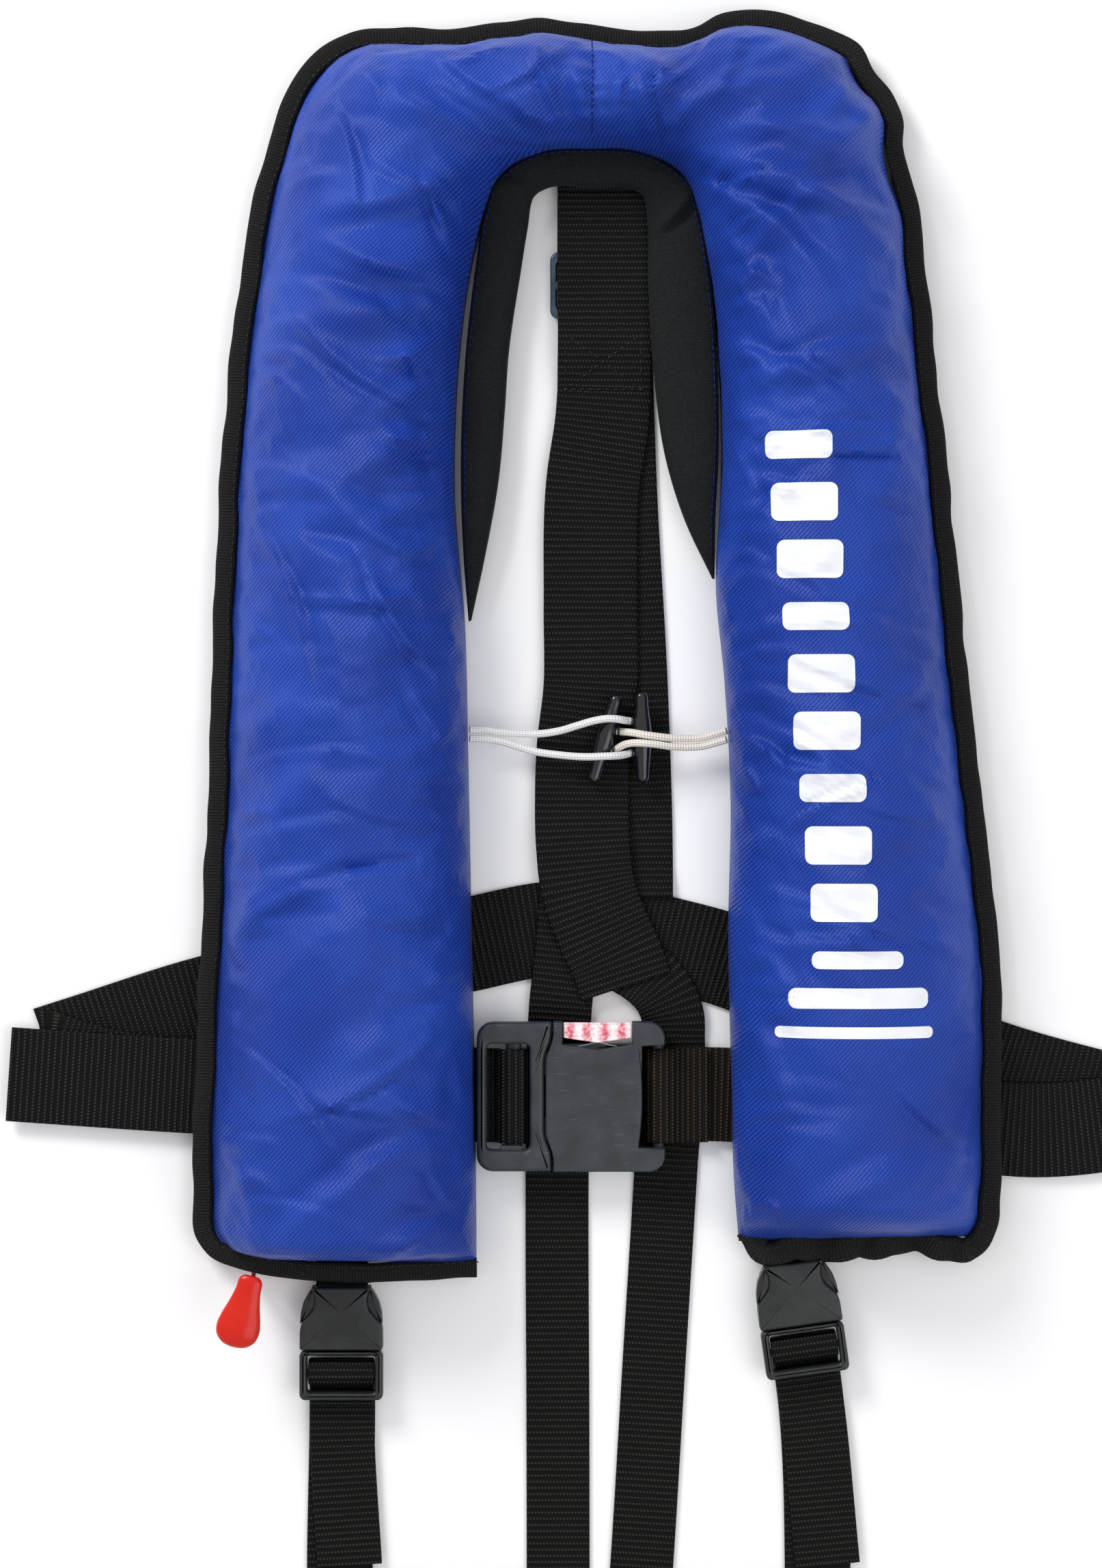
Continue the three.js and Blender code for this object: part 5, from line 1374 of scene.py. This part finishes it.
    def build(self) -> list[bpy.types.Object]:
        """Make every strap, put most of them on the jacket's body, and sew the box on the back
        strap.
        """
        made = []
        for strap in [*self.back, self.belt_left, self.tail, self.front, *self.down]:
            made.append(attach(strap.build(), "jacket"))
        sewn = self.buckle_end.build()
        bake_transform(sewn)
        made.append(sewn)
        for site in CROTCH_SITES:
            level, rise, tail = self.up_run(site)
            made.append(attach(level.build(), "jacket"))
            for strap in (rise, tail):
                piece = strap.build()
                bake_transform(piece)
                made.append(piece)
            made.append(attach(self.tab(site).build(), "jacket"))
        self.sew_box()
        return made

    def sew_box(self) -> None:
        """Sew a box with a cross in it through both layers of the back strap."""
        x0, x1, y0, y1, z = -10.5, 20.0, 178.0, 200.0, 3.95
        corners = [(x0, y0), (x1, y0), (x1, y1), (x0, y1), (x0, y0)]
        runs = [[corners[i], corners[i + 1]] for i in range(4)]
        runs += [[(x0, y0), (x1, y1)], [(x0, y1), (x1, y0)]]
        for number, run in enumerate(runs):
            ends = np.array([(*p, z) for p in run])
            line = resample(ends, 16)
            line[:, 2] += 2.6 * np.clip((line[:, 1] - 176) / 14, 0, 1)
            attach(stitches(f"back_strap_stitches_{number}", line, BLACK_THREAD, 2.8, 2.0, 0.34),
                    "jacket")


# ---------------------------------------------------------------- cords
class Cords:
    """The four braided strands that carry the toggles over the back strap."""

    routes = {
        "left_upper": [
            (-49, 40.6, 12.5), (-43, 40.4, 11.6), (-36, 39.4, 10.2), (-28, 38.8, 9.2),
            (-20, 38.9, 9.2), (-12, 40.2, 10.8), (-5, 42.3, 13.4), (1, 44, 14.6), (6, 44.8, 14.7),
            (10, 44.7, 13.8), (12.8, 44.3, 11.4), (14.8, 44, 8.8), (16.4, 43.8, 8.3),
            (18.8, 43.7, 8.3)],
        "left_lower": [
            (-49, 36.9, 12.3), (-43, 36.7, 11.4), (-36, 35.6, 10), (-29.5, 33.6, 9),
            (-22.5, 31.6, 8.8), (-14, 30.4, 10), (-7, 29.7, 12.6), (-1, 29.5, 14.4),
            (4, 29.7, 14.6), (9, 29.9, 13.4), (12.2, 30.2, 11), (14.6, 30.8, 8.9),
            (16.4, 31.3, 8.3), (18.8, 31.3, 8.3)],
        "right_upper": [
            (54.2, 40, 12.6), (50, 38.8, 11.6), (44, 37.2, 10.4), (38, 36.9, 10.8),
            (32, 37.1, 12.2), (26, 37.7, 13.9), (20.5, 38.5, 14.4), (16.5, 39.2, 13),
            (13.6, 39.5, 10.6), (11.6, 39.7, 8.8), (9.8, 40, 8.3), (7.6, 40.6, 8.3)],
        "right_lower": [
            (54.2, 36.4, 12), (50, 35.2, 11), (44, 33.7, 9.8), (38, 33.4, 10.4), (32, 33.7, 12),
            (26, 34.5, 13.8), (20.5, 35, 14.4), (16, 35, 13), (12.9, 34.3, 10.6),
            (10.4, 32.9, 8.8), (8.4, 32, 8.3), (6, 32.6, 8.3)],
    }

    def build(self) -> list[bpy.types.Object]:
        made = []
        for name, route in self.routes.items():
            path = spline(route, 90)
            section = circle(CORD / 2, 16)
            side = np.cross(UP, unit(np.gradient(path, axis=0)))
            finish = WHITE_BRAID if name.startswith("left") else BEIGE_BRAID
            cord = tessellate(f"toggle_cord_{name}_braid", [carry(path, section, side)], finish,
                              80)
            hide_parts(f"toggle_cord_{name}")
            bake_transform(cord)
            made.append(cord)
        return made


# ---------------------------------------------------------------- buckles, toggles and handle
def moved(parts: Sequence[Part], x: float, y: float, angle: float) -> list[Part]:
    """Turn parts in plan by an angle in degrees about their own origin and carry them to a place.

    Args:
        parts: walls with their flat ends.
        x: where the origin goes. y: the same.
        angle: turn, anticlockwise.

    Returns:
        the moved parts.
    """
    c, s = np.cos(np.radians(angle)), np.sin(np.radians(angle))
    spin = np.array([[c, s, 0], [-s, c, 0], [0, 0, 1]])
    shift = np.array([x, y, 0.0])
    return [(Patch(wall.points @ spin + shift, wall.cloth), [ring @ spin + shift for ring in ends])
            for wall, ends in parts]


def closed(*points: tuple[float, float]) -> Grid:
    """Close a plan outline given by its corners: the first one comes again at the end."""
    return np.array([*points, points[0]], float)


def softened(outline: Grid, reach: float = 0.8) -> Grid:
    """Cut each corner of an outline into three points that follow a parabola through it.

    Args:
        outline: closed outline. reach: how far from the corner the curve starts.

    Returns:
        the outline with round corners.
    """
    ring = outline[:-1]
    back = np.roll(ring, 1, axis=0) - ring
    ahead = np.roll(ring, -1, axis=0) - ring
    near = np.minimum(reach, 0.45 * np.minimum(np.linalg.norm(back, axis=1),
                                               np.linalg.norm(ahead, axis=1)))[:, None]
    before, after = ring + near * unit(back), ring + near * unit(ahead)
    share = np.array([0, 0.3, 0.7, 1])[:, None, None]
    curve = (1 - share) ** 2 * before + 2 * share * (1 - share) * ring + share**2 * after
    made = curve.transpose(1, 0, 2).reshape(-1, 2)
    return np.concatenate([made, made[:1]])


@dataclass
class MainBuckle:
    """The waist belt's push-button buckle: a tab with its prongs, a housing and a prism button."""

    width: float = 60.0
    tab_low: float = 6.3
    tab_high: float = 15.0
    low: float = 2.4
    high: float = 16.0
    corner: float = 6.5

    def parting(self, y: Grid) -> Grid:
        """Parting line between the halves: x goes 3 mm to the left over the belt's middle."""
        share = np.clip((25 - np.abs(y - WAIST_Y)) / 11, 0, 1)
        return PARTING_X + 0.9 - 3.0 * share * share * (3 - 2 * share)

    def parting_points(self, y0: float, y1: float) -> list[tuple[float, float]]:
        """Points down the parting line from y0 to y1."""
        y = np.linspace(y0, y1, 25)
        return list(zip((self.parting(y) + 0.3).tolist(), y.tolist()))

    def build_tab(self) -> bpy.types.Object:
        """Make the tab: a windowed plate, its bar, the lug in its window and two prongs."""
        y0, y1 = WAIST_Y - self.width / 2, WAIST_Y + self.width / 2
        right = self.parting_points(y0, y1)
        r, left = self.corner, PARTING_X - 29.5
        arc = np.linspace(0, np.pi / 2, 9)
        outer = closed(*[(x - 0.6, y) for x, y in right],
                       *zip(left + r - r * np.sin(arc), y1 - r + r * np.cos(arc)),
                       *zip(left + r - r * np.cos(arc), y0 + r - r * np.sin(arc)))
        middle = (PARTING_X - 16, WAIST_Y)
        outer = spokes(outer, middle)
        inner = spokes(rounded(PARTING_X - 25.6, PARTING_X - 8.2, WAIST_Y - 21.4, WAIST_Y + 21.2,
                               2.2, 9, 17), middle)
        parts: list[Part] = [(ring_plate(outer, inner, self.tab_low, self.tab_high, 1.9), [])]
        bar = turn([(0, 0), (0, 3.1), (46, 3.1), (46, 0)], (TAB_BAR_X, WAIST_Y - 23, 9.2),
                   (0, 1, 0), flat=0.52)
        parts.append((bar, []))
        parts.append(plate(rounded(-36.6, -27.8, WAIST_Y - 22.5, WAIST_Y - 19.6, 0.8), 6.9, 12.8,
                           0.3, 0.5))
        for y in (WAIST_Y - 13, WAIST_Y + 13):
            parts.append(plate(rounded(PARTING_X - 3, PARTING_X + 20, y - 5, y + 5, 2), 6.9, 11.5,
                               0.6, 0.6))
        made = joined("buckle_tab_shell", parts, ACETAL)
        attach(made, "jacket")
        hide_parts("buckle_tab")
        return made

    def outline(self, cavity: bool, dip: float = 0.0) -> Grid:
        """Plan of the housing: round right corners, belt slot, button notch, curved parting line.

        Args:
            cavity: whether the prongs' room is cut in from the left.
            dip: how much deeper than the button's edge the notch's middle is.

        Returns:
            the closed outline, anticlockwise.
        """
        y0, y1 = WAIST_Y - self.width / 2, WAIST_Y + self.width / 2
        right, r = PARTING_X + 46, self.corner
        arc = np.linspace(0, np.pi / 2, 8)
        low_arc = list(zip(right - r + r * np.sin(arc), y0 + r - r * np.cos(arc)))
        high_arc = list(zip(right - r + r * np.cos(arc), y1 - r + r * np.sin(arc)))
        slot_y = np.linspace(WAIST_Y - 20.3, WAIST_Y + 20.3, 13)
        slot_x = PARTING_X + 35.4 + 1.5 * (1 - ((slot_y - WAIST_Y) / 20.3) ** 2)
        slot = list(zip(slot_x, slot_y))
        b0, b1 = PARTING_X + 4.9, PARTING_X + 33.0
        notch = [(b1, y1), (b1, y1 - 8.9), ((b0 + b1) / 2, y1 - 8.9 - dip), (b0, y1 - 8.9),
                 (b0, y1)]
        left = self.parting_points(y1, y0)
        if cavity:
            room = 18.9
            left = [(PARTING_X + 1.2, y1), (PARTING_X + 1.2, WAIST_Y + room),
                    (PARTING_X + 22, WAIST_Y + room), (PARTING_X + 22, WAIST_Y - room),
                    (PARTING_X + 1.2, WAIST_Y - room), (PARTING_X + 1.2, y0)]
        points = [*low_arc, (right, WAIST_Y - 20.9), *slot, (right, WAIST_Y + 20.9), *high_arc,
                  *notch, *left]
        return closed(*points)

    def build_housing(self) -> bpy.types.Object:
        """Make the housing in three layers: floor, walls round the prongs' room, and lid."""
        parts = [plate(self.outline(False), self.low, 6.4, 1.5, 0.0),
                 plate(self.outline(True), 6.4, 12.0),
                 plate(self.outline(False, 2.1), 12.0, self.high, 0.0, 0.9)]
        bar = turn([(0, 0), (0, 2.3), (42, 2.3), (42, 0)], (HOUSING_BAR_X, WAIST_Y - 21, 7.6),
                   (0, 1, 0), flat=0.7)
        parts.append((bar, []))
        made = joined("buckle_housing_shell", parts, ACETAL)
        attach(made, "buckle_housing")
        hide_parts("buckle_housing")
        return made

    def build_button(self) -> bpy.types.Object:
        """Make the button: a five-sided block under four shallow pyramids in a row."""
        y1 = WAIST_Y + self.width / 2
        b0, b1 = PARTING_X + 5.3, PARTING_X + 32.6
        outline = closed((b1, y1 - 0.1), (b0, y1 - 0.1), (b0, y1 - 6.3), ((b0 + b1) / 2, y1 - 8.3),
                         (b1, y1 - 6.3))
        stem = rounded(b0 + 0.3, b1 - 0.3, y1 - 6.0, y1 - 0.4, 0.5)
        parts = [plate(stem, 5.4, 12.3, 0.4, 0.0),
                 plate(softened(outline, 0.5), 12.3, 14.5, 0.2, 0.5)]
        x = np.linspace(b0 + 0.9, b1 - 0.9, 49)
        y = np.linspace(y1 - 6.0, y1 - 0.8, 9)
        across, up = np.meshgrid(x, y)
        step = (b1 - b0 - 1.8) / 4
        peak_x = 1 - np.abs(((across - b0 - 0.9) / step) % 1 * 2 - 1)
        peak_y = 1 - np.abs((up - y.mean()) / (y[-1] - y.mean()))
        top = np.stack([across, up, 14.45 + 0.9 * np.minimum(peak_x, peak_y)], axis=-1)
        under = np.stack([across, up, np.full_like(up, 14.45)], axis=-1)
        parts += [(Patch(top), []), (Patch(under), [])]
        made = joined("release_button_prism", parts, PRISM, 12)
        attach(made, "release_button")
        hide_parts("release_button")
        return made


@dataclass
class CrotchBuckle:
    """One crotch strap's side-release buckle: socket with open flanks, plug with ladder frame."""

    site: CrotchSite
    half: float = 16.8

    def mirrored(self, *side: tuple[float, float]) -> Grid:
        """Close an outline from its right side, listed upwards, and the same side mirrored."""
        return softened(closed(*side, *[(-x, y) for x, y in side[::-1]]), 0.9)

    def build(self) -> list[bpy.types.Object]:
        """Make the socket on the jacket and the plug on its own body."""
        flank = [(16.7, 0.35), (16.6, 8), (16.0, 11), (13.6, 13.6), (11.4, 16.2), (10.6, 18.6),
                 (10.4, 21), (11.0, 23.4), (12.2, 25.6)]
        outline = self.mirrored(*flank)
        socket = [solid(outline, 2.4, 5.0, 0.7, 0.0), solid(outline, 10.2, 12.9, 0.0, 1.1),
                  solid(self.mirrored((10.2, 17.6), (11.6, 25.4)), 5.0, 10.2)]
        for sign in (-1, 1):
            post = [(15.3, 0.5), (16.6, 0.5), (16.5, 8.0), (15.3, 10.6)]
            pad = [(16.6, 10.6), (16.2, 15.4), (15.2, 19.4), (13.4, 22.8), (11.8, 25.0),
                   (10.2, 22.0), (10.2, 18.2), (12.0, 15.0), (15.3, 11.6)]
            for shape, low, high, soft in ((post, 5.0, 10.2, 0.0), (pad, 3.4, 11.2, 0.7)):
                ring = [(sign * px, py) for px, py in (shape if sign > 0 else shape[::-1])]
                socket.append(solid(softened(closed(*ring), 0.6), low, high, soft, soft))
        side, place = self.site.side, (self.site.x, self.site.y, self.site.turned)
        made = joined(f"crotch_socket_{side}_shell", moved(socket, *place), DARK_ACETAL)
        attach(made, "jacket")
        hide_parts(f"crotch_socket_{side}")

        outer = rounded(-self.half, self.half, -20, 0, 2.4)
        inner = rounded(-13.7, 13.7, -16.8, -2.0, 1.2)
        plug: list[Part] = [(ring_plate(outer, inner, 4.2, 12.1, 1.4), [])]
        rod = turn([(0, 0), (0, 1.6), (28.4, 1.6), (28.4, 0)], (-14.2, -9.3, 8.4), (1, 0, 0))
        plug.append((rod, []))
        for sign in (-1, 1):
            prong = [(10.6, -1.5), (13.0, -1.5), (13.4, 4), (14.2, 7), (14.8, 9.5), (14.8, 13),
                     (14.2, 15.6), (12.6, 16.8), (11.2, 16.2), (10.7, 9)]
            shape = [(sign * px, py) for px, py in prong]
            ring = softened(closed(*(shape if sign > 0 else shape[::-1])), 0.8)
            plug.append(plate(ring, 5.3, 9.8, 0.6, 0.9))
        plug.append(plate(rounded(-2.5, 2.5, -1.5, 13, 0.8), 5.3, 9.8, 0.5, 0.5))
        ladder = joined(f"crotch_plug_{side}_shell", moved(plug, *place), DARK_ACETAL)
        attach(ladder, f"crotch_plug_{side}")
        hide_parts(f"crotch_plug_{side}")
        return [made, ladder]


class SmallParts:
    """The back strap's slider, the two toggles and the pull handle."""

    def build_slider(self) -> bpy.types.Object:
        """Make the slider: a flat ring with a round bar across its middle."""
        outer = rounded(-16.6, 27.4, 206.5, 233.5, 3.4)
        inner = rounded(-13.9, 24.7, 210.6, 229.4, 1.6)
        bar = turn([(0, 0), (0, 2.3), (41, 2.3), (41, 0)], (-15.1, 220, 3.1), (1, 0, 0), flat=0.42)
        parts = [(ring_plate(outer, inner, 2.12, 4.08, 0.75), []), (bar, [])]
        made = joined("back_strap_slider_plate", parts, GUNMETAL)
        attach(made, "slider")
        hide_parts("back_strap_slider")
        return made

    def build_toggle(self, side: str, x: float, y: float, lean: float,
                     holes: Sequence[tuple[float, float]], mouth: float) -> bpy.types.Object:
        """Make one toggle: a spindle turned about its own axis, with a rim round each cord hole.

        Args:
            side: left or right. x: middle. y: middle.
            lean: turn in degrees from the y axis.
            holes: where the cords go in. mouth: which way the holes face, 1 or -1 along x.

        Returns:
            the toggle.
        """
        along = np.concatenate([[0.0], np.linspace(0.0, 1.0, 33), [1.0]])
        bell = 2.55 + 1.55 * np.exp(-(((along - 0.5) / 0.27) ** 2))
        from_end = np.minimum(along, 1 - along) * TOGGLE_LENGTH
        cap = np.sqrt(1 - (1 - np.clip(from_end / 2.2, 0, 1)) ** 2)
        radius = bell * np.where((along == 0) | (along == 1), 0, np.maximum(cap, 0.0))
        a = np.radians(lean)
        axis = np.array([-np.sin(a), np.cos(a), 0.0])
        start = np.array([x, y, TOGGLE_Z]) - TOGGLE_LENGTH / 2 * axis
        patches = [turn(np.column_stack([along * TOGGLE_LENGTH, radius]), start, axis)]
        loop = np.linspace(0, 2 * np.pi, 25)[:, None]
        small = np.linspace(0, 2 * np.pi, 11)[None]
        for hx, hy in holes:
            ring = 2.0 + 0.5 * np.cos(small)
            rim = np.stack([hx + mouth * 0.5 * np.sin(small) + 0 * loop, hy + ring * np.cos(loop),
                            TOGGLE_Z + ring * np.sin(loop)], axis=-1)
            patches.append(Patch(rim))
        made = tessellate(f"toggle_{side}_spindle", patches, TOGGLE, 60)
        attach(made, f"toggle_{side}")
        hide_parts(f"toggle_{side}")
        return made

    def build_handle(self) -> bpy.types.Object:
        """Make the pull handle: a teardrop turned about its axis and flattened to half."""
        profile = spline([(0, 0.01), (0.1, 3.4), (1.0, 4.3), (6, 5.1), (12, 6.5), (17, 8.0),
                          (21.3, 8.7), (25.2, 7.8), (27.8, 5.2), (28.8, 2.2), (29, 0.0)], 70)
        axis = np.array([-0.26, -0.9656, 0.0])
        made = tessellate("pull_handle_drop", [turn(profile, (-134.9, -176.8, 32.8), axis, 0.44)],
                          HANDLE, 60)
        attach(made, "pull_handle")
        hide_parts("pull_handle")
        return made

    def build_lanyard(self) -> bpy.types.Object:
        """Make the pull cord: from the lever to the hem, out under the tape, up to the handle."""
        path = spline([(-127.9, -119.2, 32.8), (-131, -130, 31.5), (-133.4, -142, 26),
                       (-134.6, -152, 18), (-135.4, -161, 11), (-136, -168, 7),
                       (-136.2, -174, 4.4),
                       (-136.3, -179, 4.4), (-136.4, -181.8, 8), (-136.5, -182.4, 18),
                       (-136.5, -182.2, 26), (-136.5, -181.6, 31.5)], 110)
        side = np.broadcast_to([1.0, 0.0, 0.0], path.shape)
        made = tessellate("pull_cord_braid", [carry(path, circle(0.9, 12), side)], RED_BRAID, 80)
        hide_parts("firing_lanyard")
        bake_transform(made)
        return made

    def build(self) -> list[bpy.types.Object]:
        """Make all small parts."""
        return [
            self.build_lanyard(),
            self.build_slider(),
            self.build_toggle("left", 5.5, 37.0, -15.5, [(10.9, 40.2), (8.8, 32.3)], 1),
            self.build_toggle("right", 20.4, 37.5, 1.0, [(16.5, 43.7), (16.6, 31.3)], -1),
            self.build_handle(),
        ]


# ---------------------------------------------------------------- studio
class Studio:
    """Pale floor, soft overhead light and the camera."""

    def build_camera(self) -> bpy.types.Object:
        """Hang the camera above the jacket: it frames 442 by 629 mm at its middle height."""
        lens = bpy.data.cameras.new("camera")
        lens.sensor_fit = "VERTICAL"
        lens.sensor_height = 24.0
        distance = 1.6
        view_height = 0.629
        lens.lens = lens.sensor_height * distance / view_height
        camera = bpy.data.objects.new("camera", lens)
        bpy.context.scene.collection.objects.link(camera)
        camera.location = (-0.0163, 0.0186, distance + 0.015)
        bpy.context.scene.camera = camera
        return camera

    def area(self, name: str, place: Sequence[float], aim: Sequence[float], size: float,
             watts: float) -> None:
        """Add one square softbox that faces its aim point."""
        lamp = bpy.data.lights.new(name, "AREA")
        lamp.size = size
        lamp.energy = watts
        made = bpy.data.objects.new(name, lamp)
        bpy.context.scene.collection.objects.link(made)
        made.location = place
        ray = Vector(aim) - Vector(place)
        made.rotation_euler = ray.to_track_quat("-Z", "Y").to_euler()

    def build(self) -> None:
        """Light the jacket from the upper left with a broad softbox and a weaker fill."""
        bpy.context.scene.view_settings.view_transform = "Standard"
        world = bpy.data.worlds.new("studio")
        bpy.context.scene.world = world
        world.use_nodes = True
        world.node_tree.nodes["Background"].inputs[0].default_value = linear("#fdfdff")
        world.node_tree.nodes["Background"].inputs[1].default_value = 0.68
        self.area("key_softbox", (-0.95, 1.15, 1.0), (0.0, 0.02, 0.0), 0.6, 20.0)
        self.area("fill_softbox", (0.9, -0.5, 1.3), (0.0, 0.0, 0.0), 1.2, 7.0)
        bpy.ops.mesh.primitive_plane_add(size=8.0, location=(0.0, 0.0, -0.0002))
        floor = bpy.context.object
        floor.name = "studio_floor"
        paper = bpy.data.materials.new("matt_white_paper")
        paper.use_nodes = True
        shader = paper.node_tree.nodes["Principled BSDF"]
        shader.inputs["Base Color"].default_value = linear("#fbfbfb")
        shader.inputs["Roughness"].default_value = 0.95
        floor.data.materials.append(paper)


def dress_inner_pieces() -> None:
    """Give each hidden working piece, whose shape stays as it is, its real finish."""
    finishes = {
        "buoyancy_bladder": BLADDER, "closure_hook_strip": HOOK_TAPE,
        "closure_loop_strip": HOOK_TAPE, "inflator_body": FITTING, "inflator_manifold": FITTING,
        "gas_cylinder": STEEL, "piercing_pin": STEEL, "auto_cartridge_cap": FITTING,
        "firing_lever": FITTING, "lever_pivot_pin": STEEL,
        "oral_inflation_tube": FITTING, "oral_tube_cap": HANDLE, "whistle": ORANGE,
        "lifting_loop": WEBBING, "button_spring": STEEL,
    }
    for name, finish in finishes.items():
        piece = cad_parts[name]
        target = piece if isinstance(piece, bpy.types.Object) else bpy.data.objects[name]
        target.data.materials.clear()
        target.data.materials.append(finish.material())


def main() -> None:
    """Build the jacket in order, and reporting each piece."""
    logging.basicConfig(level=logging.INFO, format="%(message)s")
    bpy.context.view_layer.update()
    studio = Studio()
    studio.build_camera()
    for cord in Cords().build():
        LOG.info("cord %s", cord.name)
    studio.build()
    cover = Cover()
    for build in (cover.build_front, cover.build_panel, cover.build_tape, cover.build_print,
                  Collar().build):
        LOG.info("soft piece %s", build().name)
    for strap in Harness().build():
        LOG.info("strap %s", strap.name)
    buckle = MainBuckle()
    pieces = [buckle.build_tab(), buckle.build_housing(), buckle.build_button()]
    for site in CROTCH_SITES:
        pieces += CrotchBuckle(site).build()
    for piece in [*pieces, *SmallParts().build()]:
        LOG.info("hard piece %s", piece.name)
    dress_inner_pieces()
    LOG.info("inner pieces dressed")


if __name__ == "__main__":
    main()
